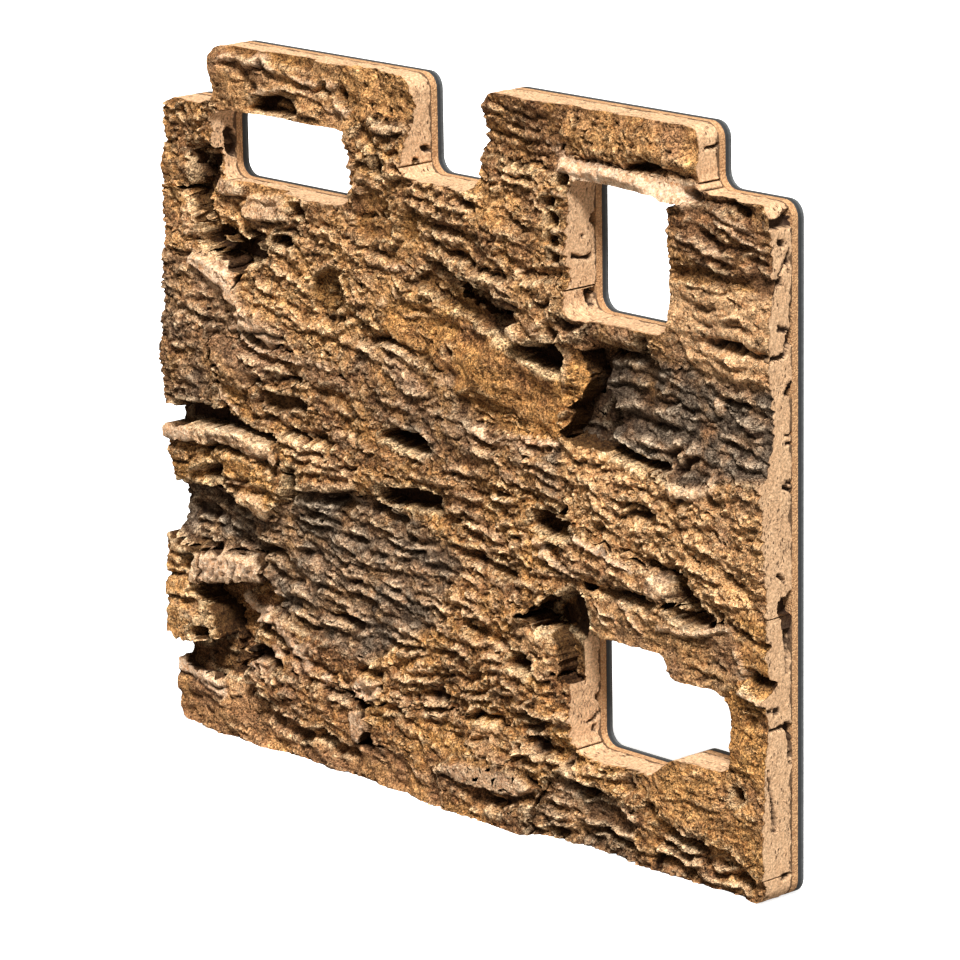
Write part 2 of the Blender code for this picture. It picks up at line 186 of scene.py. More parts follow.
def outlineOf(node, frontal):
    # the loops round the flat front or back of a CAD node, from a merged copy of its mesh
    body = bmesh.new()
    body.from_mesh(nodes[node].data)
    bmesh.ops.remove_doubles(body, verts=body.verts, dist=reading["weld"])
    body.normal_update()
    facing = -1 if frontal else 1
    following = {}
    for face in body.faces:
        if face.normal.y * facing > reading["level"]:
            for loop in face.loops:
                other = [f for f in loop.edge.link_faces if f is not face]
                if other and other[0].normal.y * facing < reading["level"]:
                    following[loop.vert.index] = loop.link_loop_next.vert.index
    body.verts.ensure_lookup_table()
    loops = []
    while following:
        start, here = next(iter(following.items()))
        chain = [start]
        del following[start]
        while here != start and here in following:
            chain.append(here)
            here = following.pop(here)
        loops.append(np.array([(body.verts[i].co.x / mm, body.verts[i].co.z / mm)
                               for i in chain]))
    body.free()
    return loops


def areaOf(points):
    x, z = points[:, 0], points[:, 1]
    return 0.5 * np.sum(x * np.roll(z, -1) - np.roll(x, -1) * z)


sawnLoops = outlineOf("cork_board", True)
sawnFrom = np.concatenate(sawnLoops)
sawnTo = np.concatenate([np.roll(loop, -1, axis=0) for loop in sawnLoops])
print("sawn outline:", len(sawnLoops), "loops,", len(sawnFrom), "edges")


def nearestOn(fromPoints, toPoints, points):
    # the nearest point of a set of edges to each point, its distance and the edge's number
    run = toPoints - fromPoints
    length = np.maximum((run ** 2).sum(1), 1e-12)
    best = np.full(len(points), 1e9)
    place, number = points.copy(), np.zeros(len(points), int)
    for k in range(len(fromPoints)):
        t = np.clip(((points - fromPoints[k]) @ run[k]) / length[k], 0, 1)
        spot = fromPoints[k] + t[:, None] * run[k]
        away = np.hypot(*(points - spot).T)
        nearer = away < best
        best[nearer], number[nearer] = away[nearer], k
        place[nearer] = spot[nearer]
    return place, best, number


# the 48 pieces of bark
# height and its rise per 100 mm to the right, how sharply the piece stands off its neighbours,
# the share of each kind of surface, and its colours
barkColumns = ("slot", "height", "rise", "hard", "crust", "furrow", "layers", "pits", "warm",
               "ashy", "pale")
bark = {
    "left_chunk": ("ochre", 50, 0, 0.9, 0.5, 0.2, 0.2, 0.2, 0.8, 0, 0.1),
    "left_flake": ("pale", 48, 0, 0.8, 0.4, 0.2, 0.2, 0.1, 0.75, 0, 0.05),
    "left_lobe": ("brown", 45, 0, 0.8, 0.4, 0.3, 0.2, 0.1, 0.5, 0, 0.05),
    "lower_left_ridge": ("pale", 48, 0, 0.9, 0.3, 0.1, 0.6, 0, 0.4, 0, 0.5),
    "fracture_strip": ("pale", 46, 0, 0.9, 0.2, 0, 0.4, 0, 0.2, 0, 0.9),
    "reddish_flake": ("brown", 46, 0, 0.9, 0.5, 0.2, 0.3, 0, 0.1, 0, 0),
    "bottom_left": ("brown", 43, 3, 0.6, 0.1, 0.05, 0.05, 0.6, 0.3, 0, 0.08),
    "bottom_bulge": ("brown", 52, 0, 0.3, 0.6, 0.4, 0.1, 0, 0.45, 0.1, 0),
    "bottom_row": ("ochre", 45, 0, 0.3, 0.6, 0.5, 0.1, 0, 0.6, 0, 0),
    "hollow_ledge": ("pale", 44, 0, 0.8, 0.4, 0.2, 0.4, 0, 0.45, 0, 0.15),
    "window_tongue": ("ochre", 43, 0, 0.5, 0.4, 0.4, 0.6, 0, 0.35, 0.2, 0.15),
    "pale_ridge": ("pale", 46, 0, 0.8, 0.6, 0.2, 0.2, 0, 0.5, 0, 0.1),
    "crust_overhang": ("ochre", 46, 0, 0.5, 0.7, 0.3, 0.1, 0, 0.4, 0.2, 0.1),
    "pale_slab": ("pale", 45, 0, 0.9, 0.1, 0, 0.5, 0, 0.1, 0, 0.6),
    "left_ochre": ("ochre", 45, 0, 0.6, 0.6, 0.2, 0.1, 0.1, 0.7, 0, 0.1),
    "left_rough": ("grey", 46, -5, 0.4, 0.8, 0.3, 0, 0, 0.3, 0.45, 0),
    "pale_rim": ("brown", 43, 0, 0.5, 0.4, 0.3, 0.2, 0, 0.3, 0.2, 0.1),
    "window_jamb": ("brown", 38, 0, 0.4, 0.7, 0.3, 0.1, 0, 0.5, 0, 0.05),
    "upper_crust": ("ochre", 42, 0, 0.2, 0.9, 0.15, 0.1, 0, 0.75, 0, 0.12),
    "notch_crust": ("ochre", 41, 0, 0.2, 0.9, 0.3, 0, 0, 0.65, 0, 0.08),
    "caramel": ("ochre", 40, 0, 0.4, 0.05, 0.05, 0.1, 0.45, 0.7, 0, 0),
    "grey_flakes": ("grey", 41, 0, 0.2, 0.6, 0.4, 0.1, 0, 0.3, 0.4, 0),
    "lower_brown": ("brown", 38, 0, 0.2, 0.6, 0.5, 0.1, 0, 0.4, 0.1, 0),
    "left_shoulder": ("brown", 41, 0, 0.3, 0.6, 0.1, 0, 0, 0.45, 0.1, 0),
    "window_return": ("brown", 30, 0, 0.8, 0.4, 0.2, 0.2, 0, 0.4, 0, 0),
    "left_sill": ("ochre", 29, 0, 0.7, 0.4, 0.2, 0.6, 0, 0.7, 0, 0.1),
    "tab_left_strip": ("brown", 34, 0, 0.4, 0.1, 0, 0.3, 0.3, 0.7, 0, 0.15),
    "tab_left_end": ("ochre", 31, 0, 0.3, 0.1, 0, 0.1, 0.9, 0.7, 0, 0.1),
    "notch_block": ("brown", 41, 0, 0.5, 0.6, 0.2, 0.4, 0, 0.4, 0.1, 0),
    "tab_right_layers": ("brown", 35, 0, 0.2, 0.5, 0.4, 0.5, 0, 0.4, 0.1, 0),
    "window_lintel": ("pale", 39, 0, 0.8, 0, 0, 0.2, 0, 0.1, 0, 1),
    "tab_right_end": ("ochre", 35, 0, 0.3, 0.1, 0, 0.1, 0.9, 0.65, 0, 0.1),
    "right_shoulder": ("brown", 36, 0, 0.2, 0.4, 0.7, 0.3, 0, 0.3, 0.2, 0),
    "right_ochre": ("ochre", 37, 0, 0.2, 0.15, 0.05, 0.15, 0.4, 1, 0, 0.42),
    "right_sill": ("brown", 41, 0, 0.5, 0.6, 0.4, 0.2, 0, 0.4, 0.1, 0.1),
    "dark_waves": ("grey", 35, 0, 0.5, 0.1, 0.8, 0.1, 0, 0, 0.95, 0),
    "golden_crust": ("ochre", 41, 0, 0.2, 0.6, 0, 0, 0.1, 0.85, 0, 0.2),
    "right_column": ("ochre", 41, 0, 0.3, 0.3, 0.2, 0.3, 0.2, 0.7, 0, 0),
    "lower_right": ("ochre", 43, 0, 0.3, 0.5, 0.2, 0.2, 0.2, 0.75, 0, 0.06),
    "bottom_strip": ("brown", 38, 0, 0.5, 0.5, 0.7, 0.2, 0, 0.3, 0.1, 0),
    "bottom_grey": ("grey", 36, 0, 0.4, 0.7, 0.4, 0.1, 0, 0.2, 0.5, 0),
    "lower_sill": ("ochre", 42, 0, 0.2, 0.9, 0.2, 0.1, 0, 0.6, 0.05, 0),
    "centre_ridges": ("ochre", 43, 0, 0.2, 0.9, 0.1, 0.1, 0, 0.5, 0, 0),
    "crust_rows": ("ochre", 42, 0, 0.2, 0.8, 0.3, 0.1, 0, 0.45, 0.05, 0),
    "orange_heart": ("ochre", 43, 0, 0.5, 0.6, 0.4, 0.3, 0, 0.8, 0, 0),
    "grey_slab": ("grey", 35, 4, 0.2, 0.2, 0.8, 0.1, 0, 0.2, 0.75, 0.03),
    "broken_flakes": ("brown", 40, 0, 0.5, 0.5, 0.2, 0.5, 0, 0.2, 0, 0),
    "recess_floor": ("brown", 20, 0, 1, 0.5, 0.3, 0, 0, 0.4, 0, 0),
}
bark = {name: dict(zip(barkColumns, row)) for name, row in bark.items()}
seam = {"growth": 0.47, "warp": 2.2, "depth": 3.2, "width": 1.4, "gain": 3.2, "dark": 0.9}
blend = {"height": 4.5, "inside": 4.0, "style": 2.5, "colour": 3.0}


def layOut(piece, loop, growth):
    # natural edges reach out to close the seam, sawn ones stay where the saw went
    if areaOf(loop) < 0:
        loop = loop[::-1]
    middles = (loop + np.roll(loop, -1, axis=0)) / 2
    piece["sawnEdge"] = nearestOn(sawnFrom, sawnTo, middles)[1] < reading["onCut"]
    outward = runOf(loop)[1]
    push = np.where(piece["sawnEdge"], 0.0, growth)
    grown = []
    for k in range(len(loop)):
        n0, n1, p0, p1 = outward[k - 1], outward[k], push[k - 1], push[k]
        if abs(n0[0] * n1[1] - n0[1] * n1[0]) > reading["turn"]:
            move = np.linalg.solve(np.array([n0, n1]), np.array([p0, p1]))
        else:
            move = (n0 + n1) / 2 * (p0 + p1) / 2
        grown.append(loop[k] + move)
    piece["outline"] = np.array(grown)
    piece["middle"] = (loop[:, 0].min() + loop[:, 0].max()) / 2


for name, piece in bark.items():
    loops = outlineOf("bark_" + name, False)
    layOut(piece, max(loops, key=lambda points: abs(areaOf(points))), seam["growth"])

# bark that shows deep down in the gaps between the pieces
# slot, height, rise, how much painted shade, warm, ashy, outline; it may reach under its neighbours
corner = {"left": 128.9, "right": 141.5, "foot": 150, "top": 166}
windowCorner = sorted(((x, z) for loop in sawnLoops for x, z in loop
                       if corner["left"] < x < corner["right"]
                       and corner["foot"] < z < corner["top"]),
                      key=lambda point: point[1])
deepBark = {
    "deep_right": ("grey", 15, 0, 0.8, 0.2, 0.6, (118, 294), (212, 294), (214, 330), (212, 382),
        (118, 382)),
    "deep_left": ("brown", 17, 0, 0.7, 0.6, 0.0, (-282, 362), (-202, 362), (-202, 412),
        (-282, 412)),
    "deep_top": ("brown", 22, 0, 0.6, 0.4, 0.0, (-14, 366), (80, 364), (80, 402), (-14, 410)),
    "deep_slot": ("grey", 27, 0, 0.8, 0.2, 0.4, (-320.5, 238), (-250, 238), (-250, 266),
        (-320.5, 266)),
    "deep_chunk": ("brown", 27, 0, 0.7, 0.4, 0.0, (-320.5, 42), (-262, 42), (-262, 82),
        (-320.5, 82)),
    "deep_ridge": ("brown", 20, 0, 0.7, 0.4, 0.0, (114, 218), (236, 218), (236, 264), (114, 264)),
    "deep_tongue": ("brown", 22, 0, 0.7, 0.4, 0.0, (130, 188), (292, 190), (292, 216), (130, 212)),
    "deep_slab": ("grey", 22, 0, 0.7, 0.2, 0.5, (-196, 206), (-8, 206), (-8, 228), (-196, 228)),
    "deep_centre": ("brown", 25, 0, 0.7, 0.4, 0.0, (-95, 58), (104, 60), (104, 82), (-95, 72)),
    "deep_flakes": ("brown", 25, 0, 0.7, 0.3, 0.0, (-240, 22), (-70, 22), (-70, 66), (-240, 66)),
    "deep_fracture": ("grey", 25, 0, 0.7, 0.2, 0.5, (-296, 140), (-240, 140), (-240, 154),
        (-296, 154)),
    "deep_ochre": ("brown", 25, 0, 0.7, 0.4, 0.0, (-276, 272), (-250, 272), (-250, 322),
        (-276, 322)),
    "deep_rim": ("brown", 25, 0, 0.7, 0.4, 0.0, (-200, 312), (-108, 312), (-108, 326), (-200, 326)),
    "deep_sill": ("brown", 22, 0, 0.8, 0.4, 0.0, (-308, 420), (-280, 420), (-280, 442),
        (-308, 442)),
    "deep_tab": ("brown", 20, 0, 0.6, 0.5, 0.0, (-101, 499), (-78, 499), (-78, 515), (-101, 515)),
    "deep_lintel": ("brown", 22, 0, 0.6, 0.5, 0.0, (112, 507), (127, 507), (127, 522), (112, 522)),
    "deep_window": ("brown", 19, 30, 0.6, 0.6, 0.0, (64, 112), (129, 112), *windowCorner,
        (141, 182), (64, 182)),
}
for name, (slot, height, rise, shade, warmth, ash, *points) in deepBark.items():
    deepBark[name] = {"slot": slot, "height": height, "rise": rise, "hard": 1.0,
                      "shade": shade, "warm": warmth, "ashy": ash}
    layOut(deepBark[name], np.array(points, float), 0.0)

label = np.full(rasterX.shape, -1)
for number, piece in enumerate(bark.values()):
    (x0, z0), (x1, z1) = piece["outline"].min(0), piece["outline"].max(0)
    rows = (np.array([z0, z1]) - raster["bottom"]) / step + [0, 2]
    columns = (np.array([x0, x1]) - raster["left"]) / step + [0, 2]
    window = tuple(slice(*np.clip(span.astype(int), 0, None)) for span in (rows, columns))
    within = insideOf(piece["outline"], rasterX[window], rasterZ[window])
    label[window] = np.where(within, number, label[window])
covered = label >= 0
print("bark pieces laid out:", len(bark))


def spreadOver(values, width):
    # a value for each piece, smoothed over the panel without the holes pulling it down
    field = np.where(covered, np.array(values, float)[label], 0.0)
    return blur(field, width) / np.maximum(blur(covered.astype(float), width), 1e-3)


def column(key):
    return [piece[key] for piece in bark.values()]


ownBase = np.zeros(rasterX.shape)
for number, piece in enumerate(bark.values()):
    own = piece["height"] + (rasterX - piece["middle"]) * piece["rise"] / 100
    ownBase = np.where(label == number, own, ownBase)
base = blur(ownBase, blend["height"])
base /= np.maximum(blur(covered.astype(float), blend["height"]), 1e-3)
ownBase = np.where(covered, ownBase, base)
within = covered.copy()
for piece in deepBark.values():
    within |= insideOf(piece["outline"], rasterX, rasterZ)
inside = blur(within.astype(float), blend["inside"])
style = {key: spreadOver(column(key), blend["style"])
         for key in ("crust", "furrow", "layers", "pits")}
warm, ashy, pale = (spreadOver(column(key), blend["colour"]) for key in ("warm", "ashy", "pale"))

# kinds of bark surface, each a height in mm and a mask of its cracks, which is painted as shade
# Rows of flakes are seed, a flake's width and height, tilt in degrees, and how far they are warped.
warp = {"x": 2.2, "z": 1.5, "size": 8, "fineX": 0.7, "fineZ": 0.5, "fine": (2.5, 2.5)}
warpX = warp["x"] * octaves(10, warp["size"], 4) + warp["fineX"] * grain(14, *warp["fine"])
warpZ = warp["z"] * octaves(20, warp["size"], 4) + warp["fineZ"] * grain(24, *warp["fine"])
flakeForm = {"balance": 0.45, "rim": 0.3, "atRim": 0.3, "within": 0.7, "uneven": 0.7, "crack": 0.2}


def flakes(seed, wide, tall, tilt, warped):
    # overlapping flakes: each rises towards its lower edge and breaks off there, in a crack
    turn = math.radians(tilt)
    x, z = rasterX + warped * warpX, rasterZ + warped * warpZ
    along, across = x * math.cos(turn) + z * math.sin(turn), z * math.cos(turn) - x * math.sin(turn)
    near, second, number, above = cells(seed, wide, tall, along, across)
    rim = ease(second - near, 0.0, flakeForm["rim"])
    form = (flakeForm["balance"] - above) * (flakeForm["atRim"] + flakeForm["within"] * rim)
    crack = 1 - ease(second - near, 0.0, flakeForm["crack"])
    return form + flakeForm["uneven"] * (number - 0.5), crack, number, above


# crust; in the lower middle its flakes rise to the right
crust = {"falling": (31, 18, 11, -12, 1.4), "rising": (32, 21, 9.5, 10, 1.2),
         "slanting": (34, 17, 7.5, -38, 1.3), "middle": (33, 7.2, 5, -10, 1.3),
         "small": (35, 3.2, 2.7, -5, 0.9), "bigRise": 3.7, "middleRise": 2.3, "smallRise": 2.7,
         "fineRise": 0.7, "sunk": 3.0, "crackDepth": 2.2, "holeDepth": 1.6,
         "slantBoxes": ((125, 330, 205, 300), (-245, -60, 330, 428)), "slantFade": 12}
rising = ease(rasterX + 2 * warpX, -120, -60) * ease(rasterZ + 2 * warpZ, 150, 115)
bigFlake, bigCrack, bigNumber = (
    (1 - rising) * down + rising * up
    for down, up in zip(flakes(*crust["falling"])[:3], flakes(*crust["rising"])[:3]))
slantFlake, slantCrack, _, _ = flakes(*crust["slanting"])
midFlake, midCrack, midNumber, _ = flakes(*crust["middle"])
smallFlake, smallCrack, smallNumber, _ = flakes(*crust["small"])
fineGrain = grain(40, 1.0, 0.8, -8)
# where the slanting flakes take over, and where the crust is calmer
slanting = ease(octaves(41, 28, 2, 1.5), -0.2, 0.9)
fade = crust["slantFade"]
for x0, x1, z0, z1 in crust["slantBoxes"]:
    across = ease(rasterX, x0 - fade, x0 + fade) * ease(rasterX, x1 + fade, x1 - fade)
    along = ease(rasterZ, z0 - fade, z0 + fade)
    slanting = np.maximum(slanting, across * along * ease(rasterZ, z1 + fade, z1 - fade))
rough = 0.55 + 0.6 * ease(octaves(43, 22, 3, 1.5, -10), -1.1, 1.0)
crackHere = ease(grain(36, 9, 5, -10), -0.9, 0.7)
big = (1 - 0.8 * slanting) * bigFlake + 0.9 * slanting * slantFlake
crustRelief = rough * (crust["bigRise"] * big + crust["middleRise"] * midFlake)
crustRelief += crust["smallRise"] * smallFlake + crust["fineRise"] * fineGrain - crust["sunk"]
crustRelief -= crust["crackDepth"] * bigCrack * crackHere
near, _, crumb, _ = cells(39, 5.2, 3.6, rasterX + 0.5 * warpX, rasterZ + 0.5 * warpZ)
crumbHole = ease(crumb, 0.62, 0.7) * (1 - ease(near, 0.14, 0.3))
crustRelief -= crust["holeDepth"] * crumbHole
crustCracks = np.maximum.reduce((
    0.85 * bigCrack * crackHere * (1 - 0.5 * slanting),
    0.5 * midCrack * ease(grain(37, 5, 3, -10), -0.4, 1.0),
    0.75 * slantCrack * slanting * crackHere,
    0.9 * crumbHole,
    0.6 * smallCrack * ease(grain(38, 3, 2), 0.1, 1.2)))

# furrows: long round rolls, with a thin crack near the top of some
furrow = {"long": (51, 46, 9.5, -10, 0.9), "streaks": (53, 15, 2.9, -11, 0.8), "rollRise": 4.6,
          "uneven": 2.2, "streakRise": 1.5, "fineRise": 0.3, "sunk": 4.0,
          "lensDepth": 1.8, "lensAt": 0.16, "lensWidth": 0.06}
_, longCrack, longNumber, longAbove = flakes(*furrow["long"])
streak, streakCrack, _, _ = flakes(*furrow["streaks"])
roundOff = np.sqrt(np.clip(1 - (longAbove / 0.62) ** 2, 0, 1))
furrowRelief = furrow["rollRise"] * roundOff * (1 - 0.7 * longCrack)
furrowRelief += furrow["uneven"] * (longNumber - 0.5) + furrow["streakRise"] * streak
furrowRelief += furrow["fineRise"] * fineGrain - furrow["sunk"]
lensCrack = np.exp(-((longAbove - furrow["lensAt"]) / furrow["lensWidth"]) ** 2)
lensCrack *= ease(grain(54, 14, 5, -10), 0.1, 0.9)
furrowRelief -= furrow["lensDepth"] * lensCrack
furrowCracks = np.maximum.reduce((0.9 * longCrack, 0.85 * lensCrack, 0.4 * streakCrack))

# thin layers seen from the side
layers = {"sheets": (61, 36, 3.0, -3, 0.8), "rise": 1.9, "fine": 0.6, "sunk": 0.8, "crack": 0.55}
layer, layerCrack, _, _ = flakes(*layers["sheets"])
layerRelief = layers["rise"] * layer + layers["fine"] * octaves(63, 2.6, 2, 2.2) - layers["sunk"]
layerCracks = layers["crack"] * layerCrack * ease(grain(64, 12, 3), -0.3, 0.9)

# smooth bark with round pits
pits = {"swell": 2.4, "ripple": 1.3, "fine": 0.3, "size": (5.4, 4.4), "depth": 2.6, "rim": 0.7}
pitRelief = pits["swell"] * octaves(70, 9, 2, 2.0, -7) + pits["fine"] * grain(75, 1.4, 1.0)
pitRelief += pits["ripple"] * octaves(73, 3.4, 2, 1.7, -7)
near, _, crumb, _ = cells(71, *pits["size"], rasterX + 0.4 * warpX, rasterZ + 0.4 * warpZ)
pitHere = ease(crumb + 0.35 * grain(72, 14, 7), 0.55, 0.8)
pitDark = pitHere * (1 - ease(near, 0.16, 0.4))
pitRim = pitHere * np.exp(-((near - 0.52) / 0.12) ** 2)
pitRelief = pitRelief - pits["depth"] * pitDark + pits["rim"] * pitRim

kinds = {"crust": (crustRelief, crustCracks), "furrow": (furrowRelief, furrowCracks),
         "layers": (layerRelief, layerCracks), "pits": (pitRelief, 0.95 * pitDark)}
relief = sum(style[kind] * height for kind, (height, _) in kinds.items())
relief /= np.maximum(0.75, sum(style.values()))
relief *= 1 - 0.45 * np.clip(pale, 0, 1)
relief += 1.6 * octaves(80, 12, 2, 1.8, -10) + 1.6 * octaves(82, 34, 1, 1.5, -10)
# painted shade in the cracks and pits of each kind
dark = np.clip(sum(style[kind] * cracks for kind, (_, cracks) in kinds.items()), 0, 1)
# patches of colour that follow the flakes
patch = blur(0.6 * (bigNumber - 0.5) + 0.8 * (midNumber - 0.5) + 0.5 * (smallNumber - 0.5), 0.7)
warm = warm + 0.55 * patch * ease(style["crust"] + style["furrow"], 0.1, 0.6)
ashy = ashy * (1 + 0.6 * blur(longNumber - 0.5, 1.0))
pale = pale + 0.5 * style["crust"] * ease(patch, 0.38, 0.7)

# seams: uneven furrows where two pieces meet, with painted shade in them
meeting = np.zeros(rasterX.shape)
for shift in ((0, 1), (1, 0)):
    other = np.roll(label, shift, (0, 1))
    meeting += (other != label) & covered & (other >= 0)
meeting = np.clip(blur(np.clip(meeting, 0, 1), seam["width"]) * seam["gain"], 0, 1)
meeting *= ease(grain(90, 12, 12), -1.1, 1.0)
relief -= seam["depth"] * meeting
dark = np.maximum(dark, seam["dark"] * meeting)
print("bark surfaces made")

# features of the bark
# Points are read at 38 mm from the back, and moved on to bark that stands higher or lower.
readAt = {"height": 38.0, "slideX": 1.08, "slideZ": 0.38}


def onBark(path):
    # a path is x, z, x, z and so on
    points = np.array(path, float).reshape(-1, 2)
    lift = lookUp(base, points[:, 0], points[:, 1]) - readAt["height"]
    return points + np.stack([lift * readAt["slideX"], lift * readAt["slideZ"]], 1)


def windowRound(points, reach):
    # the raster's rows and columns round some points
    (x0, z0), (x1, z1) = points.min(0) - reach, points.max(0) + reach
    rows, columns = (np.array([z0, z1]) - raster["bottom"], np.array([x0, x1]) - raster["left"])
    return (slice(*np.clip((rows / step).astype(int), 0, raster["rows"])),
            slice(*np.clip((columns / step).astype(int), 0, raster["columns"])))


strokeForm = {"wobble": 0.3, "strength": 0.9, "varies": 0.32, "least": 0.25, "most": 1.35,
              "warpX": 0.7, "warpZ": 1.0, "reach": 6, "taper": 10.0}
wobble = strokeForm["wobble"] * grain(95, 4, 4)
strength = np.clip(strokeForm["strength"] + strokeForm["varies"] * grain(96, 6, 6),
                   strokeForm["least"], strokeForm["most"])


def stroke(path, reach):
    # distance to a line on the bark, its side, and how strong it is: its ends taper off
    points = onBark(path)
    window = windowRound(points, reach + strokeForm["reach"])
    x = rasterX[window] + strokeForm["warpX"] * warpX[window]
    z = rasterZ[window] + strokeForm["warpZ"] * warpZ[window]
    away, side, run, length = nearLine(points, x, z)
    taper = ease(np.minimum(run, length - run), -2.0, min(strokeForm["taper"], length / 3))
    return window, away * (1 + wobble[window]), side, taper * strength[window]


def groove(width, depth, path, shade=1.0):
    # a furrow with painted shade along it
    window, away, _, taper = stroke(path, 3 * width)
    shape = np.exp(-(away / width) ** 2) * taper
    relief[window] -= depth * shape
    dark[window] = np.maximum(dark[window], shade * ease(shape, 0.3, 1.0))


def ridge(width, rise, path, cream=0.0, orange=0.0):
    window, away, _, taper = stroke(path, 3 * width)
    shape = np.exp(-(away / width) ** 2) * taper
    relief[window] += rise * shape
    pale[window] = np.maximum(pale[window], cream * ease(shape, 0.2, 0.7))
    warm[window] += orange * shape
    dark[window] *= 1 - 0.8 * ease(shape, 0.3, 0.9)


ledgeForm = {"fall": 1.4, "level": 0.3, "lip": 3.2, "lipDrop": 0.18, "rim": (1.2, 3.0),
             "shadow": 3.0}


def ledge(drop, reach, path, cream=0.0, shade=0.7):
    # a flake's edge: the bark on the right of the line's run lies lower, with a painted shadow
    # under the edge
    window, away, side, taper = stroke(path, reach + strokeForm["reach"])
    low = np.where(side < 0, away, 0)
    high = np.where(side >= 0, away, 0)
    level = 1 - ease(low, reach * ledgeForm["level"], reach)
    fall = ease(low, 0, ledgeForm["fall"]) * level * taper
    lip = np.where(side >= 0, np.exp(-(high / ledgeForm["lip"]) ** 2), 0) * taper
    relief[window] -= drop * fall - ledgeForm["lipDrop"] * drop * lip
    rim = np.where(side >= 0, 1 - ease(high, *ledgeForm["rim"]), 1 - ease(low, 0.2, 1.0)) * taper
    pale[window] = np.maximum(pale[window], cream * rim)
    under = np.where(side < 0, np.exp(-low / ledgeForm["shadow"]), 0) * ease(low, 0.2, 1.2) * taper
    dark[window] = np.maximum(dark[window] * (1 - 0.7 * rim), shade * under)


areaForm = {"warp": 0.5, "reach": 8, "flattened": 0.45}


def areaOn(path):
    # the raster inside an outline on the bark, and the window round it
    points = onBark(path)
    window = windowRound(points, areaForm["reach"])
    field = np.zeros(rasterX.shape)
    field[window] = insideOf(points, rasterX[window] + areaForm["warp"] * warpX[window],
                             rasterZ[window] + areaForm["warp"] * warpZ[window])
    return field, window


def hollow(floor, shade, path, soft=1.0):
    # a hole down to a floor, which keeps part of the bark's relief, with painted shade in it
    field, window = areaOn(path)
    mask = np.clip(blur(field, soft), 0, 1)[window]
    relief[window] += mask * (floor - ownBase[window] - areaForm["flattened"] * relief[window])
    dark[window] = np.maximum(dark[window] * (1 - mask), shade * ease(mask, 0.05, 0.5))
    pale[window] *= 1 - ease(mask, 0.02, 0.4)


pitForm = {"squash": 1.2, "wobble": 0.8, "inner": 0.45, "outer": 1.1, "rim": 1.5, "rimWidth": 0.4,
           "rimRise": 0.25}


def pit(x, z, radius, depth, shade=1.0):
    # a round hole with a slightly raised rim and painted shade inside
    (x, z), = onBark([(x, z)])
    window = windowRound(np.array([(x, z)]), 2 * radius + 4)
    dx, dz = rasterX[window] - x, rasterZ[window] - z
    away = np.hypot(dx, pitForm["squash"] * dz) * (1 + pitForm["wobble"] * wobble[window])
    shape = 1 - ease(away, pitForm["inner"] * radius, pitForm["outer"] * radius)
    rim = np.exp(-((away - pitForm["rim"] * radius) / (pitForm["rimWidth"] * radius)) ** 2)
    relief[window] += pitForm["rimRise"] * depth * rim - depth * shape
    dark[window] = np.maximum(dark[window], shade * shape)


rollForm = {"drop": 1.45, "grooveWidth": 0.55, "grooveDepth": 0.8}


def roll(width, rise, path, cream=0.3, orange=0.0, shade=0.6):
    # a ridge with the furrow that runs under it, painted with shade
    ridge(width, rise, path, cream=cream, orange=orange)
    lower = np.reshape(path, (-1, 2)) - (0, rollForm["drop"] * width)
    groove(rollForm["grooveWidth"] * width, rollForm["grooveDepth"] * rise, lower, shade=shade)


plateForm = {"soft": 0.8, "shadowSoft": 1.2, "shadowDrop": 2.2, "shadowDepth": 0.7,
             "paleFrom": 0.45, "paleCalm": 0.6, "paleShadeLifted": 0.9, "clean": 0.6}


def flake(rise, path, cream=0.0, orange=0.0):
    # a raised plate with a broken rim, and the shadow line under it; pale ones are smoother
    field, window = areaOn(path)
    mask = np.clip(blur(field, plateForm["soft"]), 0, 1)
    drop = int(round(plateForm["shadowDrop"] / step))
    under = np.roll(blur(field, plateForm["shadowSoft"]), -drop, axis=0)
    under, mask = np.clip(under - mask, 0, 1)[window], mask[window]
    clean = plateForm["clean"]
    if cream > plateForm["paleFrom"]:
        relief[window] *= 1 - plateForm["paleCalm"] * mask
        clean = plateForm["paleShadeLifted"]
    relief[window] += rise * mask - plateForm["shadowDepth"] * rise * under
    pale[window] = np.maximum(pale[window], cream * mask)
    warm[window] += orange * mask
    # painted shade is lifted on the plate and painted as a shadow line under it
    dark[window] = np.maximum(dark[window] * (1 - clean * mask), ease(under, 0.15, 0.6))


def lump(x, z, wide, tall, rise, tilt=0.0, cream=0.0):
    # a rounded knob
    (x, z), = onBark([(x, z)])
    turn = math.radians(tilt)
    dx, dz = rasterX + 0.4 * warpX - x, rasterZ + 0.4 * warpZ - z
    u = (dx * math.cos(turn) + dz * math.sin(turn)) / wide
    v = (dz * math.cos(turn) - dx * math.sin(turn)) / tall
    shape = np.clip(1 - u ** 2 - v ** 2, 0, 1) ** 0.6
    relief[:] += rise * shape
    pale[:] = np.maximum(pale, cream * ease(shape, 0.1, 0.5))
    dark[:] *= 1 - 0.7 * shape


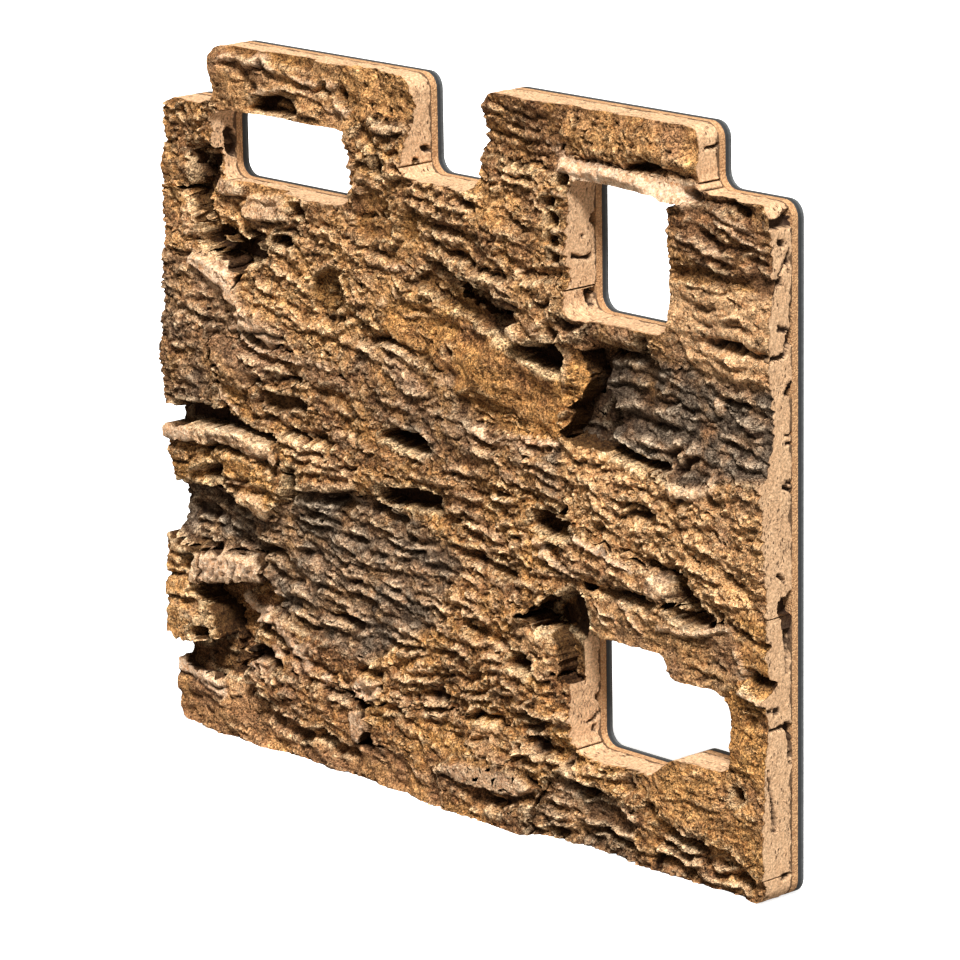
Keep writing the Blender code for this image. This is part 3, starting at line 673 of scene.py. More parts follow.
# left tab
hollow(27, 0.45, (-205, 542, -150, 540, -148, 552, -207, 552))
hollow(28, 0.25, (-246, 544, -207, 543, -207, 552, -246, 552))
ridge(2.6, 2.5, (-260, 536, -250, 538, -230, 540, -200, 537, -185, 532, -150, 530, -112, 532),
    cream=0.7)
groove(2, 5, (-254, 532, -230, 535, -204, 532, -186, 526, -150, 525, -120, 527), shade=0.8)
groove(1.3, 2.2, (-256, 531, -225, 530, -195, 527, -182, 525), shade=0.6)
groove(1.2, 2, (-250, 524, -228, 523, -196, 520), shade=0.5)
pit(-217, 519, 3.4, 3.5)
pit(-255, 517, 2, 3)
ledge(4, 9, (-258, 509, -218, 509, -195, 516, -160, 520, -130, 512, -110, 505), cream=0.5)
hollow(19, 1.0, (-222, 502, -214, 512, -196, 513, -178, 510, -166, 505, -180, 501, -205, 500))
flake(2.5, (-204, 503, -200, 508, -188, 507, -184, 502), cream=0.1, orange=0.3)
flake(3, (-166, 503, -162, 511, -146, 509, -140, 503), cream=0.1, orange=0.3)
roll(2.6, 2.5, (-172, 517, -148, 511, -122, 506), cream=0.1, orange=0.3)
hollow(20, 0.95, (-144, 525, -139, 533, -132, 532, -133, 524))
hollow(20, 0.9, (-124, 522, -120, 531, -112, 530, -114, 521))
ridge(2, 3.5, (-130, 526, -120, 516, -108, 506), cream=0.9)
groove(1.6, 5, (-134, 520, -126, 511, -116, 504), shade=0.9)
for spot in ((-100, 545), (-95, 548), (-88, 544), (-82, 547), (-78, 543), (-70, 546), (-64, 547),
        (-75, 539), (-66, 540), (-71, 529), (-60, 533), (-52, 538), (-90, 536), (-98, 527),
        (-84, 522), (-62, 521), (-74, 513), (-55, 512)):
    pit(*spot, 2.0, 3)
groove(2.4, 5, (-110, 507, -100, 503, -80, 491, -62, 488, -44, 489), shade=0.9)

# left window's jamb, left shoulder and the sill
flake(2.5, (-100, 479, -98, 499, -81, 492, -78, 477), orange=0.3)
hollow(20, 1.0, (-78, 471, -78, 485, -69, 485, -67, 470))
for spot in ((-106, 471, 6, 4), (-93, 466, 7, 5), (-79, 462, 8, 4), (-64, 468, 6, 5),
        (-99, 457, 7, 4), (-57, 476, 6, 6)):
    lump(*spot, 3.5, cream=0.3)
hollow(35, 0.35, (-105, 422, -104, 450, -84, 454, -60, 450, -60, 424, -80, 420))
pit(-301, 490, 4, 7)
pit(-268, 491, 2, 4)
pit(-261, 492, 1.6, 3)
groove(2.8, 8, (-304, 461, -290, 465, -275, 466, -262, 470), shade=0.9)
for line in ((-322, 480, -300, 478, -278, 480), (-318, 470, -300, 473, -270, 476),
        (-322, 452, -305, 450, -292, 452)):
    groove(1.8, 3.5, line, shade=0.9)
hollow(20, 0.95, (-292, 438, -291, 456, -278, 460, -264, 462, -266, 442, -279, 431, -288, 430))
roll(4.5, 3, (-325, 444, -310, 448, -297, 441), cream=0.2)
flake(3, (-262, 431, -262, 442, -246, 444, -232, 441, -234, 433), cream=0.7)
groove(3, 8, (-252, 429, -235, 429, -205, 432, -196, 433), shade=0.9)
flake(3.5, (-231, 418, -228, 436, -200, 440, -181, 437, -182, 421, -205, 417), cream=0.6)
groove(0.9, 1.5, (-224, 425, -205, 426, -186, 428), shade=0.4)
groove(0.9, 1.5, (-222, 431, -205, 433, -190, 433), shade=0.4)
hollow(26, 0.9, (-178, 425, -177, 434, -166, 435, -164, 426))
flake(3, (-290, 420, -288, 429, -262, 429, -256, 421), orange=0.3, cream=0.2)
hollow(19, 1.0, (-294, 434, -290, 418, -288, 400, -286, 386, -270, 384, -250, 379, -224, 380,
    -215, 389, -225, 395, -243, 398, -263, 400, -274, 404, -282, 413, -286, 432))
ridge(7, 3, (-318, 438, -308, 420, -303, 404, -302, 390), orange=0.4)
ridge(3, 3.5, (-286, 424, -271, 422, -247, 414, -228, 399), cream=0.2, orange=0.4)
ridge(5, 3.5, (-236, 424, -216, 413, -190, 408, -168, 392, -152, 370), cream=0.25)
hollow(22, 1.0, (-204, 404, -194, 399, -179, 400, -180, 407, -192, 408))
flake(3, (-179, 407, -168, 412, -145, 409, -140, 402, -162, 399), cream=0.1)
groove(3, 9, (-248, 431, -239, 416, -231, 406, -214, 395, -206, 383))
flake(3, (-309, 412, -296, 420, -290, 408, -291, 393, -300, 392), cream=0.3)
groove(1.4, 4, (-330, 428, -318, 420, -308, 410, -304, 396), shade=0.9)
groove(2, 5, (-202, 404, -190, 406, -177, 402), shade=0.9)
for line in ((-232, 413, -205, 411, -180, 414, -160, 412), (-168, 422, -140, 424, -112, 418),
        (-160, 404, -135, 408, -112, 405), (-105, 412, -85, 408, -60, 410),
        (-98, 433, -80, 436, -62, 433)):
    groove(1.8, 4, line, shade=0.9)
for line in ((-160, 417, -135, 419, -115, 412), (-100, 404, -80, 402, -62, 404)):
    roll(3, 2.5, line, cream=0.2)

# bark round the notch
flake(2.5, (-81, 502, -80, 509, -62, 512, -46, 509, -46, 502), cream=0.3)
groove(3, 6, (-80, 493, -62, 496, -45, 501), shade=0.9)
for line in ((-66, 480, -50, 483, -30, 478), (-60, 470, -40, 474, -14, 471),
        (-45, 459, -20, 463, 5, 459, 25, 462), (-42, 449, -12, 451, 25, 447),
        (5, 473, 22, 472, 40, 466), (38, 452, 60, 449, 88, 441)):
    roll(3.2, 3, line, cream=0.25)
for line in ((10, 465, 22, 464, 30, 458, 36, 452), (-50, 442, -30, 441, 0, 440, 20, 438, 38, 437),
        (-35, 430, -10, 428, 0, 422, 15, 417, 25, 414), (20, 414, 45, 412, 62, 411),
        (-35, 411, -10, 408, 0, 403, 20, 399), (42, 462, 70, 456, 96, 448)):
    groove(2.4, 7, line)
groove(3, 9, (60, 434, 66, 426, 75, 419, 90, 417, 112, 418, 120, 421))
hollow(35, 0.5, (-50, 425, -48, 440, -37, 440, -34, 426))
for line in ((-22, 434, 0, 433, 22, 429), (-30, 421, -12, 418, 8, 411), (42, 430, 54, 424, 60, 417),
        (72, 411, 90, 411, 112, 407), (32, 406, 52, 405, 72, 401)):
    roll(2.8, 2.5, line)

# right tab, the lintel and the rims of the right window
for line in ((30, 539, 60, 538, 108, 534), (29, 530, 60, 529, 104, 525),
        (28, 519, 60, 519, 116, 515), (30, 510, 70, 508, 112, 507)):
    groove(1.4, 3.5, line, shade=0.75)
groove(1.7, 6, (44, 500, 80, 501, 112, 499))
for line in ((32, 492, 60, 493, 95, 489), (34, 484, 60, 485, 102, 480),
        (40, 476, 70, 476, 104, 470)):
    roll(2.4, 2.5, line, cream=0.25)
hollow(26, 0.9, (115, 489, 117, 498, 130, 497, 129, 488))
groove(1.5, 6, (128, 544, 122, 533, 119, 523))
roll(2.2, 2, (104, 521, 112, 514, 119, 508), cream=0.5)
for spot in ((138, 539), (147, 531), (156, 541), (166, 536), (178, 540), (172, 529), (188, 533),
        (199, 538), (196, 526), (212, 533), (224, 536), (216, 524), (232, 527), (154, 523),
        (182, 521), (204, 519), (240, 520), (143, 517)):
    pit(*spot, 2.0, 3)
groove(2, 5, (200, 512, 225, 514, 250, 511), shade=0.9)
groove(2, 6, (116, 510, 140, 509.5, 165, 508.5, 186, 509))
hollow(24, 1.0, (184, 509, 190, 514, 205, 517, 222, 516, 226, 513, 214, 511, 200, 509))
flake(2.5, (226, 516, 230, 526, 246, 524, 250, 512, 238, 510), cream=0.1)
ridge(4.6, 4.5, (118, 503, 140, 502, 165, 501, 200, 499, 230, 495, 247, 491), cream=1.0)
groove(0.9, 2.5, (140, 507, 142, 498), shade=0.6)
groove(0.9, 2.5, (158, 507, 160, 497), shade=0.8)
groove(0.9, 2.5, (196, 504, 199, 494), shade=0.5)
groove(2.6, 8, (237, 502, 246, 499, 254, 494))
for sides in ((102, 471, 104, 479, 114, 478, 114, 471),
        (105, 457, 107, 467, 117, 466, 119, 459, 112, 456),
        (104, 444, 106, 451, 119, 450, 118, 444), (108, 432, 110, 439, 119, 437, 118, 432)):
    hollow(27, 0.9, sides)
for line in ((108, 484, 120, 483, 127, 479), (112, 454, 122, 453, 132, 454),
        (112, 441, 122, 441, 129, 442), (108, 428, 120, 430, 128, 431)):
    ridge(2.2, 3, line, cream=0.6)

# right shoulder, in bands
for line in ((232, 499, 280, 497, 322, 492), (250, 474, 275, 470, 303, 466),
        (258, 452, 288, 455, 324, 457), (232, 397, 270, 397, 324, 393)):
    groove(3.2, 9, line)
for line in ((262, 490, 282, 486, 302, 480), (264, 484, 282, 480, 298, 474),
        (290, 487, 306, 482, 322, 479), (288, 475, 304, 472, 322, 468),
        (254, 461, 278, 459, 302, 455), (236, 470, 246, 466, 258, 463)):
    roll(2.2, 2.8, line, cream=0.5)
hollow(31, 0.55, (230, 436, 232, 447, 262, 449, 292, 446, 322, 449, 322, 437, 272, 439))
for line in ((240, 443, 265, 445, 288, 442), (262, 439, 290, 441, 318, 442)):
    groove(1.2, 2, line, shade=0.8)
for line in ((278, 428, 300, 426, 322, 425), (252, 411, 280, 409, 312, 410),
        (236, 422, 256, 420, 274, 421), (240, 432, 266, 431, 296, 433)):
    groove(1.5, 3.5, line, shade=0.8)
for spot in ((246, 405), (258, 402), (268, 425), (286, 403), (299, 401), (310, 418), (250, 427),
        (312, 404), (240, 414)):
    pit(*spot, 1.8, 3)
roll(2.4, 2.5, (272, 414, 290, 417, 308, 413), cream=0.5, orange=0.2)
for line in ((232, 388, 262, 389, 300, 386), (236, 381, 264, 382, 292, 378),
        (290, 376, 306, 379, 322, 377)):
    roll(2.4, 3, line, orange=0.2)

# right sill and the black hollow beside the smooth piece
roll(4, 2.5, (142, 383, 160, 388, 184, 387), cream=0.45)
hollow(22, 0.95, (188, 379, 190, 389, 200, 388, 200, 379))
groove(4.5, 12, (143, 372, 170, 376, 204, 371))
hollow(17, 1.0, (160, 309, 180, 305, 206, 303, 226, 304, 230, 300, 214, 297, 184, 297, 164, 300))

# dark waves
hollow(28, 0.6, (146, 376, 198, 378, 214, 358, 210, 334, 196, 318, 150, 306), soft=5.0)
for width, line, cream in ((3.6, (158, 353, 180, 356, 206, 353), 0.0),
        (3.0, (156, 365, 180, 368, 206, 366), 0.0), (3.2, (164, 313, 190, 309, 230, 310), 0.0),
        (6, (160, 327, 178, 336, 202, 340, 236, 337), 0.1),
        (4.5, (206, 352, 232, 354, 262, 348), 0.0),
        (3.2, (176, 318, 200, 315, 224, 317, 244, 322), 0.2),
        (5, (232, 306, 248, 314, 262, 320), 0.25), (4, (268, 334, 290, 336, 322, 330), 0.3),
        (3.6, (286, 322, 302, 319, 322, 321), 0.15), (3.6, (292, 309, 306, 307, 322, 303), 0.25),
        (4, (250, 366, 280, 366, 322, 360), 0.1), (3.6, (262, 352, 290, 348, 322, 345), 0.1),
        (3.6, (206, 366, 228, 367, 246, 363), 0.0)):
    roll(width, 4, line, cream=cream, shade=1.0)
groove(1.2, 5, (193, 313, 208, 309, 234, 312, 242, 318))
groove(1.2, 4, (284, 315, 300, 316, 324, 313))
lump(275, 354, 6, 8, 4, cream=0.5)
roll(5, 5, (228, 290, 250, 287, 266, 292, 277, 298), cream=0.65, shade=1.0)

# left edge above the middle
flake(3, (-323, 380, -322, 392, -298, 393, -292, 386, -294, 379), orange=0.4)
flake(2, (-244, 366, -242, 376, -224, 378, -216, 368), orange=0.3)
flake(3.5, (-298, 373, -295, 379, -276, 378, -250, 371, -247, 364, -255, 355, -274, 362), cream=1.0)
for k in range(7):
    groove(1.3, 2.4, (-292 + 6 * k, 380 - 2 * k, -286 + 6 * k, 371 - 2 * k), shade=0.7)
ledge(4, 9, (-256, 357, -252, 347, -240, 342, -226, 340), cream=0.6)
flake(3, (-256, 347, -254, 362, -241, 360, -239, 345), cream=0.8)
flake(2.5, (-240, 326, -239, 345, -214, 343, -191, 340, -190, 328, -210, 330), cream=0.25)
groove(2.6, 8, (-237, 329, -222, 324, -205, 320, -191, 320))
groove(1.3, 6, (-192, 336, -194, 328, -197, 317))
for line in ((-210, 388, -188, 380, -160, 370), (-205, 397, -180, 394, -158, 388),
        (-220, 366, -196, 364, -166, 356), (-222, 354, -198, 352, -166, 345),
        (-186, 340, -162, 344, -130, 341), (-130, 334, -105, 336, -84, 330)):
    roll(3.2, 3, line)
hollow(33, 0.6, (-156, 358, -154, 382, -140, 390, -122, 392, -119, 366, -135, 355))
ridge(3, 3, (-162, 386, -140, 394, -118, 400), cream=0.4)
pit(-135, 376, 3, 4)
groove(3, 8, (-158, 352, -135, 354, -110, 355, -85, 347))
for line in ((-112, 386, -95, 389, -78, 384), (-110, 372, -95, 374, -80, 368)):
    roll(3.4, 3, line, cream=0.25)
ledge(5.5, 15, (-282, 322, -262, 325, -240, 325, -225, 318, -210, 314, -190, 312, -165, 312,
    -140, 314, -118, 315), cream=0.9)
ledge(3, 9, (-192, 320, -178, 324, -165, 322, -148, 320), cream=0.65)
pit(-137, 325, 4, 7)
for line in ((-320, 362, -304, 364, -288, 356), (-318, 350, -300, 348, -270, 346),
        (-320, 336, -296, 338, -270, 334), (-318, 322, -304, 322, -290, 314),
        (-320, 308, -300, 306, -282, 308), (-318, 292, -300, 290, -280, 292),
        (-316, 278, -300, 280, -282, 274)):
    roll(3, 3.2, line, cream=0.2)
roll(2.4, 3, (-273, 303, -260, 294, -251, 289), cream=0.6)
pit(-265, 292, 2.4, 4)
roll(2.2, 3, (-266, 278, -250, 268, -238, 257), cream=0.65)
hollow(30, 0.8, (-222, 274, -214, 285, -188, 286, -160, 285, -162, 277, -190, 273))
for line in ((-232, 289, -210, 293, -190, 295, -168, 300), (-158, 292, -135, 296, -110, 292),
        (-232, 262, -212, 266, -190, 262)):
    groove(2.2, 6, line)
for line in ((-240, 308, -220, 304, -196, 303), (-180, 305, -150, 303, -120, 305),
        (-150, 284, -128, 284, -104, 282), (-230, 275, -218, 279, -206, 270)):
    roll(2.8, 3, line, cream=0.25)
groove(2, 8, (-105, 276, -106, 265, -104, 255))

# left edge, the slot and the ridge under it
hollow(16, 1.0, (-322, 247, -312, 258, -285, 260, -262, 258, -240, 253, -214, 249, -198, 245,
    -215, 243, -240, 246, -289, 244, -312, 242))
flake(2, (-333, 229, -331, 238, -300, 241, -298, 230), cream=0.9)
ridge(3, 2, (-300, 239, -270, 243, -240, 243, -202, 239), cream=0.55, orange=0.2)
for k in range(8):
    groove(1.3, 3, (-292 + 11 * k, 243, -288 + 11 * k, 233), shade=0.7)
groove(3.4, 8, (-315, 228, -285, 228, -262, 231, -238, 231, -205, 229, -194, 222))
flake(3, (-331, 211, -328, 222, -312, 222, -306, 212), cream=0.1)
flake(3, (-303, 207, -300, 216, -285, 219, -270, 217, -288, 209), orange=0.2)
hollow(18, 1.0, (-292, 204, -288, 211, -274, 216, -266, 214, -268, 206, -278, 203))
flake(2.5, (-264, 208, -263, 226, -236, 229, -228, 224, -231, 209), orange=0.3)
flake(3, (-228, 206, -228, 226, -205, 227, -196, 216, -198, 206), orange=0.4)
groove(1.4, 3, (-226, 216, -212, 213, -198, 214), shade=0.8)
ledge(5, 10, (-312, 203, -300, 206, -270, 205, -240, 206, -220, 202, -205, 203, -184, 200),
    cream=0.55)
flake(4, (-242, 200, -234, 190, -222, 184, -208, 180, -204, 190, -214, 200), cream=0.5, orange=0.3)
groove(1.5, 4, (-232, 198, -222, 192, -212, 184))
hollow(17, 1.0, (-190, 200, -188, 208, -184, 228, -172, 230, -170, 212, -180, 202))
flake(3.5, (-176, 213, -170, 219, -140, 224, -104, 233, -104, 226, -150, 215), cream=0.3)
groove(3.6, 9, (-166, 210, -140, 214, -110, 217, -80, 216, -50, 214))

# rows of crust across the middle
for line in ((-222, 250, -192, 254, -170, 249, -140, 248), (-140, 262, -112, 262, -84, 258),
        (-190, 242, -150, 240, -118, 242), (-170, 230, -140, 234, -110, 236),
        (-76, 254, -62, 256, -52, 252), (-54, 264, -40, 266, -26, 258),
        (-10, 256, 14, 258, 38, 262), (-60, 246, -30, 248, -2, 244), (0, 238, 16, 241, 40, 236),
        (-14, 228, 8, 230, 34, 226), (44, 226, 66, 230, 84, 228), (6, 218, 28, 220, 56, 216),
        (56, 212, 78, 214, 96, 208), (20, 206, 48, 209, 76, 206)):
    roll(3, 3.2, line)
for line in ((-192, 262, -170, 257, -150, 255, -128, 257), (-122, 240, -108, 240, -98, 244),
        (-80, 243, -62, 243, -48, 238), (24, 248, 40, 240, 56, 236, 78, 233),
        (22, 233, 32, 231, 42, 233), (-4, 221, 12, 213, 30, 209), (62, 262, 84, 252, 96, 249),
        (90, 249, 108, 250, 124, 255)):
    groove(2.6, 8, line)
hollow(24, 1.0, (-82, 222, -80, 233, -50, 235, -32, 237, -15, 236, -18, 224, -50, 222))
hollow(24, 0.95, (84, 232, 86, 243, 108, 245, 122, 240, 116, 229, 98, 227))
groove(3, 10, (128, 276, 127, 262, 125, 246))
groove(1.6, 7, (43, 250, 53, 249, 62, 252))
roll(1.6, 3, (41, 247, 53, 243, 65, 249), cream=0.8)
roll(2, 3, (42, 256, 52, 258, 63, 256), cream=0.1, orange=0.5)
roll(3.2, 3.5, (84, 262, 104, 262, 122, 258))
flake(3.5, (97, 222, 100, 231, 114, 230, 118, 223), orange=0.5, cream=0.1)
flake(3.5, (84, 220, 86, 225, 95, 222, 103, 213, 116, 209, 136, 205, 136, 201, 112, 204, 96, 210),
    cream=0.75)
groove(2.4, 7, (88, 216, 96, 219, 110, 220))
flake(2.5, (-10, 201, -4, 206, 24, 205, 22, 201), orange=0.5)
groove(3.4, 10, (-4, 197, 20, 195, 40, 193, 66, 189))
for line in ((30, 196, 48, 197, 68, 200), (76, 196, 100, 200, 128, 197), (8, 187, 20, 188, 30, 186),
        (34, 184, 44, 181, 54, 181), (60, 185, 78, 187, 100, 187), (60, 177, 70, 174, 80, 174),
        (2, 176, 16, 178, 32, 174), (6, 165, 20, 167, 36, 163)):
    roll(2.6, 3.2, line, cream=0.35)

# the smooth caramel piece and what lies round it
for spot in ((-34, 361), (-22, 352), (2, 355), (18, 357), (22, 350), (-8, 363), (36, 362),
        (-50, 352), (10, 366), (48, 345), (-14, 347)):
    pit(*spot, 1.6, 2.2)
ridge(3, 1.6, (121, 374, 122, 352, 118, 332), cream=0.3)
ledge(2.5, 8, (-66, 367, -40, 369, -12, 371, 20, 369, 44, 366), cream=0.15)
for line in ((-60, 396, -30, 392, 0, 388), (-42, 385, -20, 382, 10, 384),
        (-60, 378, -44, 376, -26, 372), (-34, 377, -26, 374, -16, 375)):
    groove(1.8, 4, line, shade=0.9)
groove(4.5, 10, (-28, 408, 0, 404, 22, 398, 50, 391, 74, 388))
hollow(30, 0.75, (-38, 396, -26, 405, -12, 404, 10, 401, 30, 395, 44, 389, 62, 386, 70, 379,
    58, 372, 40, 372, 20, 378, 0, 382, -14, 386))
for line in ((-30, 400, 0, 397, 28, 391, 56, 384), (-24, 394, 4, 391, 30, 385, 54, 378)):
    ridge(1.7, 3, line, cream=0.1, orange=0.2)
roll(2.2, 3, (-76, 398, -58, 402, -40, 407), cream=0.75)
roll(2.4, 3, (-30, 402, -12, 402, 6, 396), cream=0.4)
hollow(34, 0.35, (6, 302, 6, 318, 24, 322, 42, 322, 60, 315, 76, 308, 76, 297, 40, 299))
for line in ((10, 319, 36, 317, 56, 313, 74, 310), (12, 312, 40, 310, 76, 308),
        (14, 305, 44, 306, 76, 303)):
    roll(1.5, 3, line, cream=0.1, orange=0.5, shade=1.0)
ledge(5, 10, (10, 299, 20, 291, 34, 289, 50, 290, 70, 294, 90, 297, 118, 296), cream=0.9)
flake(3, (22, 293, 26, 300, 34, 299, 42, 292, 36, 289), cream=0.9)
hollow(20, 1.0, (34, 384, 46, 374, 60, 364, 78, 356, 96, 350, 116, 349, 119, 364, 110, 371, 92, 369,
    80, 362, 68, 371, 50, 382))
flake(5, (42, 375, 50, 381, 66, 378, 78, 372, 76, 362, 66, 365, 54, 370), cream=0.45, orange=0.3)
roll(4, 3, (82, 380, 96, 384, 108, 388))
roll(3, 3, (84, 374, 98, 375, 104, 366))
groove(2, 7, (104, 388, 106, 378, 112, 370))
groove(2.6, 7, (112, 390, 126, 386, 140, 389))
groove(2.6, 6, (84, 402, 98, 396, 112, 395))
hollow(17, 1.0, (-82, 271, -66, 280, -40, 280, -28, 277, -22, 270, -32, 266, -60, 268))
roll(2.4, 3, (-38, 285, -26, 280, -14, 273), cream=0.5)
groove(2.8, 8, (-102, 341, -68, 347, -37, 340, -12, 332, 4, 326))
ridge(4, 3.5, (-107, 337, -83, 331, -55, 320, -20, 311), cream=0.15)
ridge(1.8, 3, (-68, 400, -50, 404), cream=1.0)
for line in ((-76, 342, -56, 340, -36, 333), (-60, 326, -40, 324, -26, 316),
        (-76, 334, -58, 331, -42, 326), (-50, 316, -40, 315, -30, 311), (-20, 322, -6, 326, 4, 318),
        (-26, 306, -8, 312, 8, 308), (-76, 300, -56, 302, -34, 296), (-28, 298, -8, 302, 12, 298),
        (-70, 287, -50, 288, -36, 284), (36, 285, 60, 288, 92, 286), (62, 277, 90, 281, 118, 280),
        (20, 278, 40, 276, 58, 270), (66, 272, 92, 272, 118, 270), (-10, 290, 10, 291, 24, 286),
        (50, 266, 70, 263, 92, 260)):
    roll(2.8, 3.2, line)

# golden crust and the pale ridge
flake(4, (116, 300, 117, 322, 130, 329, 144, 324, 157, 319, 164, 305, 160, 293, 136, 290),
    orange=0.2, cream=0.15)
for k in range(5):
    groove(1.1, 3.5, (126 + 4 * k, 322 - 4 * k, 144 + 4 * k, 318 - 4 * k, 160 + k, 311 - 4 * k),
        shade=0.8)
for line in ((118, 310, 134, 306, 150, 304), (150, 284, 164, 290, 180, 288),
        (132, 250, 140, 252, 150, 249), (150, 249, 156, 246, 163, 247),
        (165, 271, 190, 268, 214, 262, 226, 257), (172, 258, 192, 262, 212, 260),
        (230, 268, 236, 258, 228, 250), (262, 262, 280, 256, 300, 252),
        (276, 276, 292, 270, 312, 268), (242, 244, 252, 238, 262, 240),
        (276, 236, 292, 230, 308, 232), (190, 284, 214, 280, 236, 276),
        (260, 286, 272, 281, 284, 284), (306, 290, 314, 283, 322, 284)):
    groove(2, 6, line)
groove(2.6, 8, (213, 247, 222, 237, 232, 229, 246, 222))
for line in ((136, 272, 148, 276, 162, 268), (168, 284, 186, 286, 206, 282),
        (166, 264, 184, 274, 204, 270), (148, 262, 160, 262, 172, 256),
        (186, 250, 200, 252, 214, 248), (236, 262, 254, 266, 272, 264),
        (240, 252, 258, 250, 276, 246), (244, 230, 262, 232, 280, 226),
        (284, 246, 298, 244, 314, 240), (280, 290, 296, 296, 310, 290),
        (290, 262, 304, 262, 318, 256), (262, 216, 280, 214, 300, 216)):
    roll(3, 3, line, orange=0.1)
ridge(2.8, 4, (121, 237, 145, 230, 170, 224, 188, 217, 202, 216), cream=1.0)
groove(1.4, 4, (128, 232, 150, 224, 172, 219, 196, 215), shade=0.7)
for line in ((150, 240, 168, 237, 192, 235), (186, 234, 200, 229, 214, 228)):
    groove(1.8, 5, line)
for line in ((120, 222, 140, 216, 158, 213), (122, 212, 146, 208, 170, 207),
        (160, 216, 184, 210, 204, 208)):
    roll(2.6, 2.5, line, cream=0.2, orange=0.2)
flake(3.5, (203, 206, 204, 216, 213, 221, 225, 222, 228, 210, 216, 203), cream=0.5)
groove(4, 10, (190, 227, 213, 229, 231, 214, 255, 195))
groove(4.5, 12, (136, 203, 156, 199, 184, 197, 216, 199))
hollow(27, 0.9, (228, 202, 229, 228, 240, 222, 258, 206, 250, 200, 240, 204))
groove(3, 9, (246, 198, 258, 194, 270, 189))
groove(2.2, 7, (262, 206, 278, 196, 300, 191, 324, 186))

# window tongue
roll(4, 3, (210, 182, 232, 183, 258, 187, 284, 194), cream=0.7)
roll(3, 2.5, (224, 190, 236, 194, 244, 190), cream=0.5)
for line in ((150, 192, 160, 184, 176, 172), (146, 186, 156, 178, 168, 170),
        (166, 194, 182, 186, 196, 178), (178, 186, 190, 181, 202, 174)):
    roll(1.6, 2.5, line, cream=0.6)
hollow(25, 0.85, (222, 194, 226, 200, 250, 198, 256, 192, 240, 190))
for line in ((196, 190, 206, 192, 218, 190), (230, 176, 250, 174, 268, 178),
        (232, 168, 256, 164, 280, 166), (238, 158, 258, 155, 284, 158)):
    groove(1.6, 4, line, shade=0.9)
roll(3, 3, (284, 180, 292, 170, 298, 160), cream=0.7)

# right column and the lower right piece
groove(4, 11, (296, 166, 310, 162, 326, 160))
flake(3, (292, 150, 294, 155, 324, 149, 324, 144), cream=0.9)
for line in ((292, 140, 304, 138, 318, 134), (296, 130, 306, 128, 318, 128)):
    groove(1.8, 4, line, shade=0.9)
for spot in ((300, 118), (308, 106), (296, 96), (312, 92), (302, 84), (240, 62), (262, 70),
        (236, 48), (256, 44), (276, 52)):
    pit(*spot, 1.5, 2)
hollow(26, 0.95, (284, 68, 283, 77, 290, 79, 295, 72, 291, 67))
for line in ((232, 78, 252, 82, 272, 80), (222, 66, 250, 64, 282, 62), (288, 56, 304, 60, 318, 66),
        (216, 58, 236, 56, 252, 54)):
    roll(2.8, 1.8, line, cream=0.2, orange=0.2)
groove(3, 9, (196, 44, 206, 47, 214, 46))
ledge(8, 16, (214, 40, 232, 38, 252, 36, 272, 34, 284, 30, 298, 23, 311, 18), cream=0.2, shade=1.0)

# bottom strip
for line in ((216, 33, 240, 32, 266, 28), (200, 22, 230, 24, 256, 18), (262, 10, 284, 12, 308, 9),
        (200, 10, 228, 12, 250, 6), (272, 20, 292, 19, 306, 14)):
    groove(2.8, 8, line)
for line in ((198, 30, 224, 28, 250, 25), (206, 16, 232, 18, 258, 13), (262, 17, 284, 16, 306, 12),
        (256, 5, 282, 6, 308, 4)):
    roll(2.4, 3, line, cream=0.2, orange=0.3)

# grey slab: long rolls with a thin crack along the top
for x, z, long, drop, cream in ((-300, 200, 50, 8, 0.0), (-262, 197, 52, 4, 0.0),
        (-310, 184, 46, 2, 0.0), (-258, 186, 60, 5, 0.0), (-300, 171, 36, -3, 0.05),
        (-262, 172, 66, 8, 0.0), (-300, 158, 44, 4, 0.1), (-252, 156, 48, 3, 0.1),
        (-172, 206, 52, 3, 0.0), (-112, 206, 50, 2, 0.0), (-186, 196, 54, 4, 0.05),
        (-128, 195, 40, 2, 0.2), (-84, 197, 42, 4, 0.15), (-56, 206, 44, 2, 0.0),
        (-190, 184, 40, 4, 0.05), (-132, 183, 30, 4, 0.45), (-94, 186, 34, 2, 0.3),
        (-62, 186, 16, 2, 0.35), (-48, 196, 34, 3, 0.25), (-194, 172, 40, 6, 0.2),
        (-144, 171, 36, 3, 0.15), (-104, 175, 24, 3, 0.35), (-76, 176, 22, 2, 0.3),
        (-50, 176, 42, 5, 0.5), (-204, 161, 34, 3, 0.3), (-170, 157, 44, 5, 0.5),
        (-122, 159, 40, 4, 0.5), (-80, 162, 34, 3, 0.4), (-44, 165, 36, 5, 0.35),
        (-226, 150, 36, 4, 0.35), (-184, 149, 20, 2, 0.3), (-160, 146, 36, 1, 0.2),
        (-120, 148, 38, 3, 0.35), (-78, 151, 34, 4, 0.45), (-40, 152, 36, 3, 0.4),
        (-196, 133, 40, 2, 0.55), (-150, 136, 36, 2, 0.2), (-122, 130, 30, 3, 0.6),
        (-84, 139, 38, 4, 0.4), (-42, 139, 40, 4, 0.45), (-220, 128, 26, 3, 0.55),
        (-182, 116, 40, 2, 0.3), (-148, 115, 34, 1, 0.5), (-108, 116, 30, 4, 0.4),
        (-70, 127, 36, 4, 0.4), (-70, 116, 30, -2, 0.5), (-28, 186, 22, 3, 0.2),
        (-24, 176, 20, 3, 0.2)):
    line = ((x, z), (x + 0.5 * long, z + 1.5 - 0.4 * drop), (x + long, z - drop))
    roll(4.2, 4.2, line, cream=cream, shade=0.9)
    groove(1.0, 3.2, [(a + 3, b + 1.2) for a, b in line], shade=0.95)
